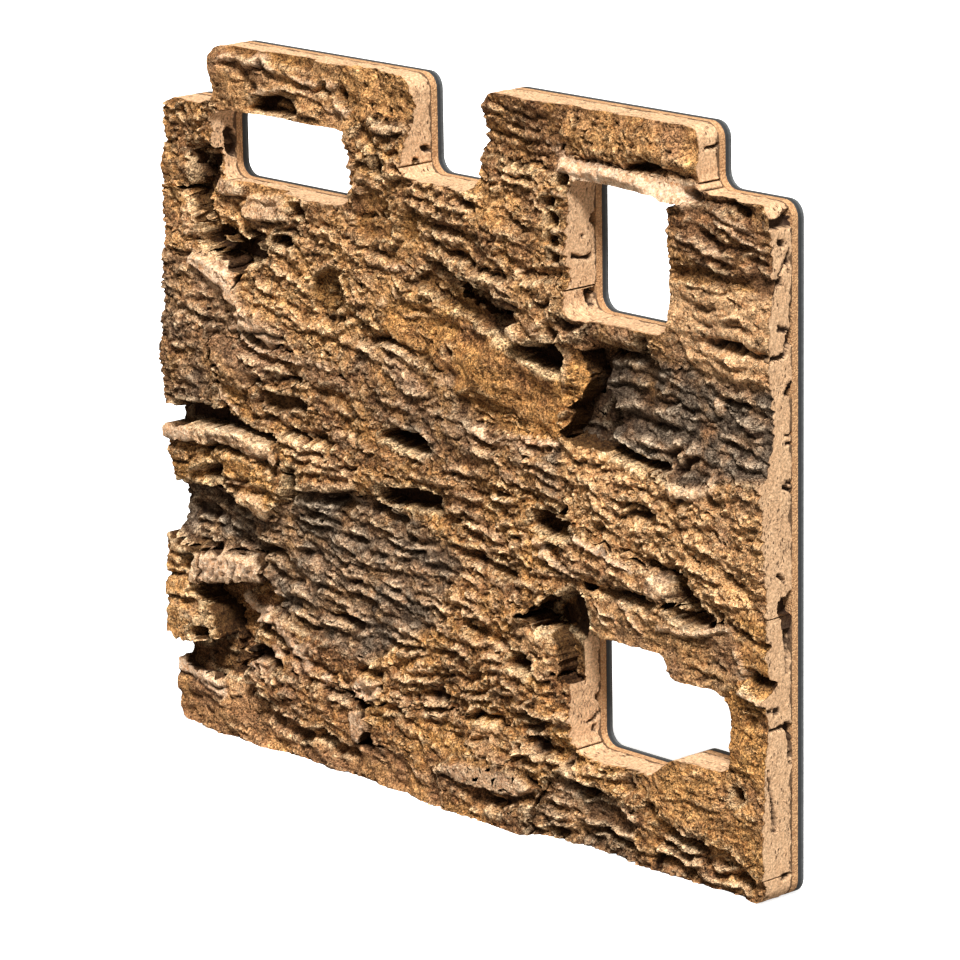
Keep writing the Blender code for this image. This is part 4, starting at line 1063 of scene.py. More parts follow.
for line in ((-266, 178, -252, 166, -238, 158),
        (-252, 161, -225, 158, -200, 156, -180, 151, -166, 143), (-312, 176, -292, 178, -270, 180),
        (-212, 142, -190, 141, -160, 140), (-172, 166, -150, 165, -120, 167),
        (-150, 122, -128, 122, -96, 120), (-206, 122, -190, 121, -170, 123),
        (-306, 193, -286, 190, -268, 190)):
    groove(3, 6, line)

# ribbed flake and the left chunk
flake(3, (-309, 116, -308, 128, -298, 138, -270, 143, -245, 148, -232, 144, -230, 128, -262, 125,
    -285, 118), cream=0.75)
for k in range(8):
    groove(1.3, 3.2, (-298 + 8.5 * k, 138 + k, -301 + 9 * k, 118 + 1.6 * k), shade=0.75)
groove(1.4, 4, (-286, 134, -277, 139, -268, 143), shade=0.9)
flake(3.5, (-328, 138, -326, 148, -312, 146, -303, 140, -312, 136), orange=0.3, cream=0.3)
flake(3.5, (-336, 118, -334, 132, -322, 137, -313, 130, -318, 120), orange=0.3)
hollow(22, 0.9, (-319, 124, -316, 131, -308, 135, -303, 133, -308, 125))
groove(2, 6, (-334, 118, -320, 121, -310, 120), shade=0.8)
flake(3, (-336, 102, -334, 116, -312, 116, -302, 108, -306, 101), orange=0.4)
flake(2.5, (-330, 66, -330, 90, -318, 92, -298, 90, -294, 66), orange=0.2)
hollow(22, 0.95, (-292, 68, -294, 92, -300, 104, -300, 112, -284, 114, -262, 112, -262, 84,
    -270, 66))
roll(3, 3, (-318, 88, -304, 87, -288, 86), cream=0.4, orange=0.2)
roll(3, 3, (-310, 69, -298, 68, -286, 67), cream=0.4, orange=0.2)
hollow(22, 0.95, (-308, 71, -306, 78, -298, 79, -295, 73, -299, 69))
groove(2.4, 6, (-324, 97, -306, 96, -290, 98), shade=0.9)

# recess and its floor
for line in ((-276, 112, -256, 110, -236, 108), (-270, 98, -252, 97, -236, 98),
        (-272, 84, -254, 82, -238, 84), (-268, 70, -252, 70, -240, 68)):
    roll(2.6, 3, line, cream=0.0, shade=0.8)

# broken flakes under the grey slab
flake(4, (-243, 118, -236, 121, -222, 112, -206, 110, -204, 101, -222, 99, -232, 104), cream=0.9)
flake(3.5, (-222, 101, -212, 106, -188, 106, -180, 100, -186, 90, -204, 92), cream=0.35, orange=0.3)
for k in range(5):
    groove(1.3, 3, (-214 + 7 * k, 104 - k, -207 + 7 * k, 94 - k), shade=0.6)
for k in range(4):
    roll(1.8, 3, (-188 + 8 * k, 80 + k, -180 + 8 * k, 90, -173 + 8 * k, 99 - k), cream=0.55)
flake(3, (-237, 82, -234, 90, -218, 92, -208, 86, -212, 81), orange=0.4)
groove(2.4, 7, (-236, 93, -220, 96, -204, 90, -188, 86))
groove(3, 9, (-238, 78, -220, 77, -204, 79, -186, 80))
roll(2.2, 3.5, (-240, 70, -230, 73, -216, 69, -202, 64), cream=0.6)
groove(3, 9, (-242, 64, -226, 61, -206, 60))
groove(3.6, 10, (-184, 76, -160, 78, -138, 76, -118, 74))
for line in ((-172, 71, -152, 69, -132, 71), (-166, 64, -146, 65, -126, 66),
        (-158, 88, -140, 86, -122, 90), (-196, 73, -184, 70, -172, 66),
        (-150, 98, -136, 97, -120, 100)):
    roll(2.2, 3, line)
flake(4.5, (-118, 61, -114, 72, -104, 80, -86, 79, -84, 66, -96, 61), cream=0.85)
for k in range(4):
    groove(1.3, 3, (-114 + 7 * k, 76, -106 + 7 * k, 64), shade=0.6)
groove(3.4, 10, (-118, 84, -100, 86, -80, 84))
groove(3, 9, (-118, 57, -104, 56, -86, 58))
roll(3, 3.5, (-124, 94, -108, 96, -88, 92), cream=0.5)

hollow(31, 1.0, (-238, 74, -222, 79, -205, 73, -197, 66, -204, 63, -219, 68, -234, 69))
groove(2.2, 8, (-172, 67, -143, 63, -114, 67, -77, 77))
flake(3, (-186, 89, -167, 91, -171, 80, -185, 79), cream=0.95)

# reddish flake and the smooth bottom left
for x, z in ((-226, 104), (-204, 97), (-196, 88), (-214, 76), (-178, 74), (-150, 66), (-232, 62)):
    flake(2.5, (x, z, x + 3, z + 7, x + 12, z + 6, x + 15, z - 2, x + 6, z - 4), cream=0.8)
ledge(7, 14, (-246, 50, -230, 44, -206, 34, -186, 29, -160, 27, -140, 25, -120, 23, -108, 24),
    cream=0.4, shade=1.0)
flake(3, (-116, 27, -117, 50, -106, 52, -99, 44, -99, 32, -106, 26), cream=0.6)
for k in range(3):
    groove(0.9, 2, (-113 + 4 * k, 49, -112 + 4 * k, 29), shade=0.5)
for line in ((-238, 56, -220, 56, -204, 52), (-200, 57, -176, 58, -150, 55),
        (-196, 46, -170, 48, -140, 45), (-190, 37, -160, 39, -128, 36),
        (-144, 59, -130, 60, -116, 55)):
    roll(2.8, 2.5, line)
pit(-210, 53, 4, 5)
flake(3, (-332, 39, -332, 51, -310, 50, -286, 46, -266, 39, -264, 29, -284, 33, -306, 38),
    cream=1.0)
flake(3, (-288, 38, -286, 46, -270, 46, -262, 40, -270, 36), cream=0.4)
flake(2.5, (-262, 32, -261, 44, -246, 47, -244, 34), orange=0.5, cream=0.3)
for line in ((-318, 22, -280, 24, -240, 20), (-300, 10, -260, 12, -215, 8),
        (-236, 28, -210, 22, -176, 18), (-190, 8, -160, 10, -120, 6),
        (-196, 17, -160, 16, -126, 12), (-110, 20, -92, 16, -72, 14), (-70, 30, -50, 28, -24, 20),
        (-80, 9, -50, 12, -20, 8)):
    groove(1.5, 2.2, line, shade=0.6)
groove(3.4, 8, (-196, 20, -168, 20, -136, 19, -112, 15), shade=0.9)
for line in ((-80, 43, -62, 42, -48, 37, -36, 30), (-104, 47, -84, 50, -66, 48),
        (-80, 60, -60, 57, -44, 50)):
    groove(2.8, 7, line, shade=0.95)
for line in ((-50, 44, -34, 42, -14, 34), (-76, 72, -60, 70, -46, 66), (-76, 64, -62, 64, -46, 58),
        (-100, 34, -88, 30, -80, 22), (-76, 26, -56, 22, -36, 16)):
    roll(3, 2.8, line)

# lower middle: rows that rise to the right
hollow(14, 1.0, (86, 160, 88, 170, 100, 178, 112, 182, 128, 190, 140, 186, 141, 160, 124, 152,
    108, 156))
flake(5, (60, 153, 60, 162, 84, 171, 106, 180, 111, 179, 88, 164), cream=0.15)
flake(4, (73, 138, 74, 149, 89, 155, 103, 150, 110, 144, 106, 132, 103, 121, 92, 118, 79, 130),
    cream=0.2)
hollow(18, 1.0, (86, 166, 94, 173, 106, 174, 112, 166, 104, 158, 91, 158))
groove(1.4, 5, (78, 135, 96, 137, 110, 142))
groove(1.2, 3, (84, 148, 96, 146, 106, 148), shade=0.8)
flake(3, (60, 148, 62, 157, 78, 156, 80, 150, 70, 146), cream=0.3)
groove(3.6, 10, (6, 143, 26, 141, 44, 138, 62, 138))
hollow(22, 0.95, (60, 124, 62, 134, 74, 135, 88, 126, 80, 121))
for line in ((2, 135, 24, 132, 60, 135), (24, 122, 42, 125, 58, 126), (36, 116, 60, 118, 84, 116),
        (34, 106, 54, 110, 72, 106), (32, 98, 54, 100, 74, 104), (-70, 104, -44, 110, -14, 118),
        (-14, 119, 4, 124, 18, 116), (-64, 94, -36, 100, -20, 104), (-74, 88, -50, 88, -26, 90),
        (-4, 86, 20, 90, 44, 92), (-10, 158, 14, 160, 34, 154), (0, 150, 24, 151, 56, 156),
        (-44, 72, -24, 75, -8, 72), (-44, 62, -14, 66, 10, 64), (6, 74, 24, 78, 40, 76),
        (74, 97, 92, 108, 98, 118), (74, 86, 94, 92, 124, 98), (72, 76, 88, 75, 104, 78),
        (102, 88, 112, 90, 124, 86), (20, 64, 44, 68, 72, 64), (56, 56, 78, 60, 100, 58),
        (8, 58, 28, 60, 48, 56), (0, 50, 20, 50, 44, 46), (56, 44, 74, 47, 90, 42),
        (96, 62, 120, 60, 140, 58), (132, 62, 160, 60, 190, 58), (104, 52, 130, 53, 158, 50),
        (94, 36, 116, 42, 140, 40), (10, 44, 36, 44, 54, 42), (100, 29, 124, 31, 150, 30),
        (150, 40, 176, 42, 196, 34), (60, 86, 72, 92, 80, 96)):
    roll(2.9, 3.4, line, cream=0.35)
for line in ((-82, 111, -58, 111, -30, 114, 0, 120), (-24, 96, -4, 100, 14, 104, 28, 110),
        (12, 93, 26, 94, 40, 102), (86, 119, 83, 108, 86, 99), (46, 86, 72, 87, 94, 86, 108, 92),
        (4, 68, 28, 71, 50, 76, 74, 78, 100, 82), (44, 50, 66, 51, 86, 50),
        (-46, 80, -30, 78, -10, 80), (158, 62, 172, 56, 190, 54), (-12, 60, -6, 52, 2, 48)):
    groove(2.6, 8, line)
groove(4.2, 11, (74, 70, 94, 68, 116, 67, 138, 65))
groove(3.6, 11, (96, 44, 118, 44, 140, 45, 168, 43))
for spot in ((-54, 68, 2), (-48, 76, 2.6), (30, 58, 1.6), (60, 76, 2), (110, 50, 2),
        (-30, 88, 1.8)):
    pit(*spot, 4)

# bottom bulge, the grey piece and the lower sill
flake(4, (-22, 25, 0, 34, 24, 37, 46, 37, 62, 38, 80, 30, 66, 22, 40, 22, 10, 20), cream=0.55)
groove(4.4, 12, (-4, 14, 20, 12, 48, 14, 66, 20, 82, 24))
for line in ((-10, 5, 8, 3, 28, 2), (24, 6, 40, 5, 56, 2), (58, 10, 72, 6, 84, 4)):
    roll(3, 3, line, cream=0.1, orange=0.3)
groove(2.6, 7, (88, 5, 110, 6, 136, 8, 160, 8))
groove(3.2, 9, (130, 13, 156, 16, 190, 14))
roll(3, 3.5, (80, 20, 98, 18, 130, 21, 160, 22, 192, 18), cream=0.4)
flake(3, (176, 20, 178, 30, 188, 26, 190, 20), cream=0.6)
hollow(33, 0.5, (142, 24, 146, 38, 180, 40, 190, 34, 186, 24, 160, 22))
roll(2.6, 3, (100, 12, 120, 14, 140, 12))

dark = np.clip(dark, 0, 1)
print("features placed")

# height, painted shade in hollows and painted highlight on crests
pieceHeight = {"tallest": 52.4, "lowest": 14.0}
overall = ownBase + relief
# blur's width, and the height differences between which each grows from nothing to full
shading = {"narrow": (2.4, 0.5, 3.2), "wide": (7, 1.5, 7), "crest_highlight": (3.0, 0.3, 3.0),
           "wideShare": 0.9, "share": 0.72}
(width, *narrowSpan), (wideWidth, *wideSpan) = shading["narrow"], shading["wide"]
cavity = np.maximum(ease(blur(overall, width) - overall, *narrowSpan),
                    shading["wideShare"] * ease(blur(overall, wideWidth) - overall, *wideSpan))
# painted highlight on the tops of crests
width, *crestSpan = shading["crest_highlight"]
crest_highlight = ease(overall - blur(overall, width), *crestSpan)
dark = np.clip(np.maximum(dark, shading["share"] * cavity), 0, 1)
loose = ease(inside, 0.55, 0.97)
edgeMoveX = seam["warp"] * octaves(110, 3.2, 3) * loose
edgeMoveZ = seam["warp"] * octaves(120, 3.2, 3) * loose


def heightOf(piece, x, z):
    own = piece["height"] + (x - piece["middle"]) * piece["rise"] / 100
    if "shade" in piece:
        made = own + np.clip(lookUp(relief, x, z), -2, 3)
    else:
        made = piece["hard"] * own + (1 - piece["hard"]) * lookUp(base, x, z) + lookUp(relief, x, z)
    return np.clip(made, pieceHeight["lowest"], pieceHeight["tallest"])


# hollows in the sawn faces that look along x
# where the face is, how deep, and the outline as (height, z) points
pockets = (
    (321, 9, (26, 219), (9, 228), (11, 217), (15.2, 185), (16.3, 166), (17.6, 166), (19.8, 187),
     (22.7, 208), (26, 211)),
    (321, 7, (21.3, 129), (17.8, 133), (11, 127), (13.6, 110), (14.2, 90), (15.2, 97),
     (16.6, 120), (18.4, 125)),
    (321, 4, (35, 129), (21, 130), (21, 126.5), (34, 126.5)),
    (321, 6, (37.5, 101), (35.4, 99), (30.5, 72), (27, 57), (28.5, 53), (31.5, 54), (33, 72)),
    (321, 4, (22, 16), (15, 16), (15, 21), (22, 20)),
    (321, 3, (30, 138), (24, 138), (25, 145), (31, 143)),
    (321, 3, (37, 141), (31, 141), (32, 143.5), (37, 143)),
    (321, 5, (22, 300), (11, 294), (12, 297.5), (20, 302)),
    (321, 3, (19, 302), (12, 301), (12, 304), (18, 305)),
    (321, 6, (27, 239), (19, 230), (20, 235), (25, 241)),
    (321, 3, (19, 330), (11, 330), (11, 333), (19, 333)),
    (321, 8, (37, 491), (25, 491), (12, 500), (12, 483), (25, 483), (36, 485)),
    (321, 5, (27, 473), (20, 470), (19, 474), (26, 477)),
    (321, 5, (26, 452), (22, 456), (15, 467), (13, 463), (17, 452), (13, 450), (19, 458),
     (24, 450)),
    (321, 4, (35, 459), (31, 459), (31, 469), (35, 469)),
    (321, 6, (41, 445), (30, 444), (21, 444), (22, 450), (31, 449), (41, 450)),
    (321, 3, (28, 411), (16, 410), (16, 413), (27, 416)),
    (321, 6, (13.8, 430), (11, 430), (11, 400), (16, 399), (17, 393), (27, 391), (41, 392),
     (41, 395), (27, 394.5), (20, 397), (17.5, 408), (14, 413)),
    (321, 6, (20, 369), (12, 376), (11, 360), (14, 364), (19, 366)),
    (321, 3, (20, 336), (12, 337), (12, 339.5), (20, 339)),
    (321, 3, (44, 1), (33, 1), (34, 6), (40, 5)),
    (129, 9, (18.5, 463), (10, 472), (10, 456), (11.5, 448), (14, 457)),
    (129, 3, (26, 449), (23.5, 449), (23.5, 453), (26, 453)),
    (129, 4, (36, 436), (27, 434.5), (17, 434), (17, 437), (27, 438), (36, 441)),
    (129, 9, (24.5, 412), (15, 413), (10, 420), (10, 410), (14.5, 407), (16.5, 401), (21, 400),
     (23.5, 407)),
    (129, 8, (17.5, 109), (14, 111), (10, 113), (10, 96), (14.5, 103)),
    (129, 4, (26, 91), (20, 94), (14, 97), (14, 94), (20, 91), (26, 89)),
    (129, 4, (21, 83), (16, 81), (18, 88), (21, 88)),
    (129, 3, (14, 139), (11, 139), (11, 143), (14, 143)),
    (-43, 5, (23.5, 490), (18, 488.5), (13, 489.5), (14, 492), (19, 495.5), (23, 494)),
    (-43, 4, (32, 483), (26, 482), (25, 485), (30, 486.5)),
    (-266, 7, (25, 478), (18, 481), (13, 472), (12.5, 457), (17, 455), (23, 462)),
    (252, 4, (27, 529), (18, 528.5), (12, 531), (13, 533), (19, 531.5), (27, 531)),
)
# walls of the pieces: where they end, rows of faces, how far natural ones cut under and how much
# the layers in them show, how rough sawn ones are, and how the rows crowd towards the top
edges = {"foot": 12.3, "rows": 7, "sawnRows": 18, "undercut": 2.5, "layered": 0.5, "rough": 0.12,
         "crowding": 1.1, "lowest": 20}
pocketForm = {"warpHeight": 0.4, "warpZ": 0.5, "face": 3, "from": -0.5, "to": 1.3, "around": 30}


def pressIn(x, z, height):
    # how deep the saw's face lies in at each point
    depth = np.zeros(x.shape)
    height, z = (height + pocketForm["warpHeight"] * lookUp(octaveFine, x + height, z),
                 z + pocketForm["warpZ"] * lookUp(octaveFine, x - height, z + 40))
    for face, deep, *points in pockets:
        here = np.abs(x - face) < pocketForm["face"]
        if here.any():
            points = np.array(points, float)
            within = insideOf(points, height[here], z[here])
            away = nearLine(np.append(points, points[:1], axis=0), height[here], z[here])[0]
            inward = ease(np.where(within, away, -away), pocketForm["from"], pocketForm["to"])
            depth[here] = np.maximum(depth[here], deep * inward)
    return depth


def nearPocket(piece):
    # whether a piece's sawn edge has such a hollow, and so needs a finer wall
    x, z = piece["outline"][piece["sawnEdge"]].T
    around = pocketForm["around"]
    return any(((np.abs(x - face) < pocketForm["face"])
                & (z > min(end for _, end in points) - around)
                & (z < max(end for _, end in points) + around)).any()
               for face, _, *points in pockets)


# bark meshes
meshing = {"spacing": 1.12, "jitter": 0.2, "sharpFrom": 55, "firstSeed": 500}


def makeBark(name, piece, number):
    # a grid cut to the outline, with rows of wall faces down to its foot and a flat bottom
    outline = piece["outline"]
    low, high = outline.min(0), outline.max(0)
    spacing = meshing["spacing"]
    count = np.ceil((high - low) / spacing).astype(int) + 1
    size = count * spacing
    middle = (low + high) / 2
    place = (Matrix.Translation((middle[0] * mm, 0, middle[1] * mm))
             @ Matrix.Rotation(math.pi / 2, 4, "X")
             @ Matrix.Diagonal((size[0] * mm, size[1] * mm, 1, 1)))
    body = bmesh.new()
    bmesh.ops.create_grid(body, x_segments=int(count[0]), y_segments=int(count[1]), size=0.5,
                          matrix=place)
    x = np.array([v.co.x for v in body.verts]) / mm
    z = np.array([v.co.z for v in body.verts]) / mm
    within = insideOf(outline, x, z)
    beyond = [v for v, keep in zip(list(body.verts), within) if not keep]
    bmesh.ops.delete(body, geom=beyond, context="VERTS")
    # strands one cell wide are dropped, so that the rim is one clean loop
    while True:
        poor = [v for v in body.verts
                if not v.link_faces or sum(e.is_boundary for e in v.link_edges) > 2
                or (v.is_boundary and len(v.link_faces) == 1 and len(v.link_edges) == 2
                    and all(len(e.link_faces) == 1 and e.other_vert(v).is_boundary
                            for e in v.link_edges)
                    and all(len(e.other_vert(v).link_faces) == 1 for e in v.link_edges))]
        if not poor:
            break
        bmesh.ops.delete(body, geom=poor, context="VERTS")
    keepLargest(body)
    row = body.verts.layers.int.new("row")
    rim = [v for v in body.verts if v.is_boundary]
    places = np.array([(v.co.x / mm, v.co.z / mm) for v in rim])
    following = np.roll(outline, -1, axis=0)
    snapped = nearestOn(outline, following, places)[0]
    # each corner of the outline gets a vertex of its own
    run = runOf(outline)[0]
    turning = np.abs(np.cross(run, np.roll(run, 1, axis=0)))
    changing = piece["sawnEdge"] != np.roll(piece["sawnEdge"], 1)
    for k in np.nonzero((turning > reading["turn"]) | changing)[0]:
        closest = np.argmin(np.hypot(*(snapped - outline[k]).T))
        if np.hypot(*(snapped[closest] - outline[k])) < spacing:
            snapped[closest] = outline[k]
    for v, (px, pz) in zip(rim, snapped):
        v.co.x, v.co.z = px * mm, pz * mm
    ring = [e for e in body.edges if e.is_boundary]
    rowCount = edges["sawnRows" if nearPocket(piece) else "rows"]
    for k in range(1, rowCount + 1):
        made = bmesh.ops.extrude_edge_only(body, edges=ring)["geom"]
        ring = [g for g in made if isinstance(g, bmesh.types.BMEdge) and g.is_boundary]
        for v in {v for e in ring for v in e.verts}:
            v[row] = k
    bmesh.ops.holes_fill(body, edges=ring, sides=0)
    mesh = bpy.data.meshes.new("bark_" + name)
    body.to_mesh(mesh)
    body.free()
    shapeBark(mesh, piece, number, rowCount)
    made = bpy.data.objects.new(name, mesh)
    bpy.context.scene.collection.objects.link(made)
    mesh.materials.append(barkMaterials[piece["slot"]])
    if name in bark:
        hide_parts("bark_" + name)
    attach(made, "root")


def keepLargest(body):
    # drops every island of vertices but the largest
    waiting, groups = set(body.verts), []
    while waiting:
        group, found = [], [waiting.pop()]
        while found:
            v = found.pop()
            group.append(v)
            for e in v.link_edges:
                other = e.other_vert(v)
                if other in waiting:
                    waiting.remove(other)
                    found.append(other)
        groups.append(group)
    largest = max(groups, key=len)
    for group in groups:
        if group is not largest:
            bmesh.ops.delete(body, geom=group, context="VERTS")


# how much the colour masks vary, and what is left of them on walls and on fresh bark
masks = {"warm": 0.3, "ashy": 0.25, "wallFresh": 0.4, "wallAshy": 0.6, "freshAshy": 0.8}


def shapeBark(mesh, piece, number, rowCount):
    # moves a piece's vertices to the bark's surface and writes the masks for its colours
    count = len(mesh.vertices)
    co = np.zeros(count * 3)
    mesh.vertices.foreach_get("co", co)
    co = co.reshape(-1, 3) / mm
    row = np.zeros(count, np.int32)
    mesh.attributes["row"].data.foreach_get("value", row)
    outline = piece["outline"]
    following = np.roll(outline, -1, axis=0)
    spot = co[:, [0, 2]]
    edgeNumber = np.zeros(count, int)
    onRim = row > 0
    # which vertices belong to the rim: those that share a place with a wall vertex
    rimPlaces = {(round(a, 3), round(b, 3)) for a, b in spot[onRim]}
    onRim = np.array([(round(a, 3), round(b, 3)) in rimPlaces for a, b in spot])
    edgeNumber[onRim] = nearestOn(outline, following, spot[onRim])[2]
    sawn = onRim & piece["sawnEdge"][edgeNumber]
    if piece["sawnEdge"].any():
        # the corners where a natural edge meets the saw's cut belong to the cut
        cut = piece["sawnEdge"]
        cutAway = nearestOn(outline[cut], following[cut], spot[onRim])[1]
        sawn[onRim] |= cutAway < reading["cornerOnCut"]
    outward = runOf(outline)[1][edgeNumber]
    random = np.random.default_rng(meshing["firstSeed"] + number)
    jitter = random.uniform(-meshing["jitter"], meshing["jitter"], (count, 2)) * (~onRim)[:, None]
    x, z = spot[:, 0] + jitter[:, 0], spot[:, 1] + jitter[:, 1]
    free = (~sawn).astype(float)
    moveX, moveZ = lookUp(edgeMoveX, x, z) * free, lookUp(edgeMoveZ, x, z) * free
    x, z = x + moveX, z + moveZ
    top = heightOf(piece, x, z)
    part = (row / rowCount) ** edges["crowding"]
    height = top + (edges["foot"] - top) * part
    # walls: sawn ones are flat with pockets, natural ones are rough and cut under
    pressed = np.where(sawn & (row > 0), pressIn(x, z, height), 0.0)
    uneven = edges["rough"] * lookUp(octaveFine, x + 2.7 * height, z + 1.9 * height)
    pressed += np.where(sawn & (row > 0), uneven, 0)
    layered = lookUp(octaveFine, x * 0.6 + 9 * height, z * 0.6 + 5 * height)
    under = edges["undercut"] * np.sin(math.pi * np.clip(part * 1.2, 0, 1))
    under = (under + edges["layered"] * layered) * lookUp(loose, x, z)
    under *= np.clip((top - edges["lowest"]) / edges["lowest"], 0, 1)
    pressed += np.where(onRim & ~sawn & (row > 0), under, 0.0)
    pressed = np.where((row == rowCount) & ~sawn, 0, pressed)
    x = x - outward[:, 0] * pressed * onRim
    z = z - outward[:, 1] * pressed * onRim
    co = np.stack([x, backPlane - height, z], 1) * mm
    mesh.vertices.foreach_set("co", co.ravel())
    wall = (row > 0).astype(float)
    if "shade" in piece:
        own = {key: np.full(count, piece[key]) for key in ("shade", "warm", "ashy")}
        own["fresh"] = 0.0
    else:
        own = {"shade": 0.0, "warm": lookUp(warm, x, z), "ashy": lookUp(ashy, x, z),
               "fresh": lookUp(pale, x, z)}
    fresh = np.clip(own["fresh"], 0, 1)
    # painted shade on the walls: in the pockets of sawn walls, and on natural walls, darkest at
    # their foot
    wallDark = np.where(sawn, ease(pressed, 0.35, 1.3), 0.84 + 0.16 * part)
    ashyHere = np.clip(own["ashy"] * (1 + masks["ashy"] * lookUp(ashNoise, x, z)), 0, 1)
    # deep carries painted shade, and the crest mask painted highlight
    values = {
        "sawn": np.where(sawn & (row > 0), 1.0, 0.0),
        "deep": np.where(row > 0, wallDark, np.maximum(lookUp(dark, x, z), own["shade"])),
        "crest_highlight": np.where(row > 0, 0.0, lookUp(crest_highlight, x, z)),
        "fresh": fresh * np.where((row > 0) & ~sawn, masks["wallFresh"] * (1 - part) ** 2, 1),
        "warm": np.clip(own["warm"] + masks["warm"] * lookUp(tintNoise, x, z), 0, 1),
        "ashy": ashyHere * (1 - masks["wallAshy"] * wall) * (1 - masks["freshAshy"] * fresh),
    }
    for key, value in values.items():
        made = mesh.attributes.new(key, "FLOAT", "POINT")
        made.data.foreach_set("value", value.astype(np.float32))
    mesh.attributes.remove(mesh.attributes["row"])
    mesh.polygons.foreach_set("use_smooth", np.ones(len(mesh.polygons), bool))
    mesh.set_sharp_from_angle(angle=math.radians(meshing["sharpFrom"]))
    mesh.update()


octaveFine = octaves(130, 1.6, 2)
tintNoise = octaves(140, 9, 4)
ashNoise = octaves(150, 6, 4)


# shader groups
class Wiring:
    # short ways to place and link nodes
    def __init__(self, tree):
        self.tree = tree

    def node(self, kind, **settings):
        made = self.tree.nodes.new("ShaderNode" + kind)
        for key, value in settings.items():
            setattr(made, key, value)
        return made

    def join(self, source, target):
        self.tree.links.new(source, target)

    def feed(self, target, value):
        if hasattr(value, "is_output"):
            self.join(value, target)
        else:
            target.default_value = value

    def math(self, operation, a, b=0.0, clamp=False):
        made = self.node("Math", operation=operation, use_clamp=clamp)
        self.feed(made.inputs[0], a)
        self.feed(made.inputs[1], b)
        return made.outputs[0]

    def times(self, a, b, clamp=False):
        return self.math("MULTIPLY", a, b, clamp)

    def mix(self, factor, a, b, blend="MIX"):
        made = self.node("Mix", data_type="RGBA", blend_type=blend)
        self.feed(made.inputs[0], factor)
        self.feed(made.inputs[6], a if hasattr(a, "is_output") else (*a, 1))
        self.feed(made.inputs[7], b if hasattr(b, "is_output") else (*b, 1))
        return made.outputs[2]

    def noise(self, coordinates, scale, detail=3.0, roughness=0.6):
        made = self.node("TexNoise")
        self.join(coordinates, made.inputs["Vector"])
        made.inputs["Scale"].default_value = scale
        made.inputs["Detail"].default_value = detail
        made.inputs["Roughness"].default_value = roughness
        return made.outputs["Fac"]

    def remap(self, value, low, high, toLow=0.0, toHigh=1.0):
        made = self.node("MapRange")
        self.feed(made.inputs[0], value)
        for socket, number in zip(made.inputs[1:5], (low, high, toLow, toHigh)):
            socket.default_value = number
        return made.outputs[0]

    def stretched(self, coordinates, scale):
        made = self.node("Mapping")
        self.join(coordinates, made.inputs["Vector"])
        made.inputs["Scale"].default_value = scale
        return made.outputs[0]


def startGroup(name, inputs, outputs):
    tree = bpy.data.node_groups.new(name, "ShaderNodeTree")
    for label, kind, value in inputs:
        socket = tree.interface.new_socket(label, in_out="INPUT", socket_type="NodeSocket" + kind)
        if value is not None:
            socket.default_value = value
    for label, kind in outputs:
        tree.interface.new_socket(label, in_out="OUTPUT", socket_type="NodeSocket" + kind)
    given, result = tree.nodes.new("NodeGroupInput"), tree.nodes.new("NodeGroupOutput")
    return Wiring(tree), given.outputs, result.inputs


def placeGroup(wiring, name, **values):
    made = wiring.node("Group")
    made.node_tree = bpy.data.node_groups[name]
    for key, value in values.items():
        wiring.feed(made.inputs[key], value)
    return made.outputs


# linear colours, from the darkest crumbs to the palest
sawnColours = {"cork": ((0.50, 0.29, 0.15), (0.87, 0.585, 0.35)), "cloud": (0.63, 0.36, 0.19),
               "pore": (0.10, 0.045, 0.022), "crack": (0.09, 0.04, 0.02),
               "joint": (0.06, 0.03, 0.015)}
skinColours = {"brown": ((0.10, 0.030, 0.008), (0.60, 0.30, 0.125)),
               "ochre": ((0.25, 0.085, 0.0145), (0.91, 0.50, 0.175)),
               "grey": ((0.05, 0.034, 0.022), (0.29, 0.215, 0.15)),
               "cream": ((0.66, 0.33, 0.15), (1.0, 0.80, 0.58)),
               "crest_highlights": ((1.0, 0.74, 0.43), (0.76, 0.62, 0.46)),
               "gapShade": (0.05, 0.018, 0.006), "shadow": (0.018, 0.006, 0.0015)}
granuleColours = {"cork": ((0.45, 0.225, 0.095), (0.74, 0.43, 0.205)), "seam": (0.2, 0.1, 0.05)}


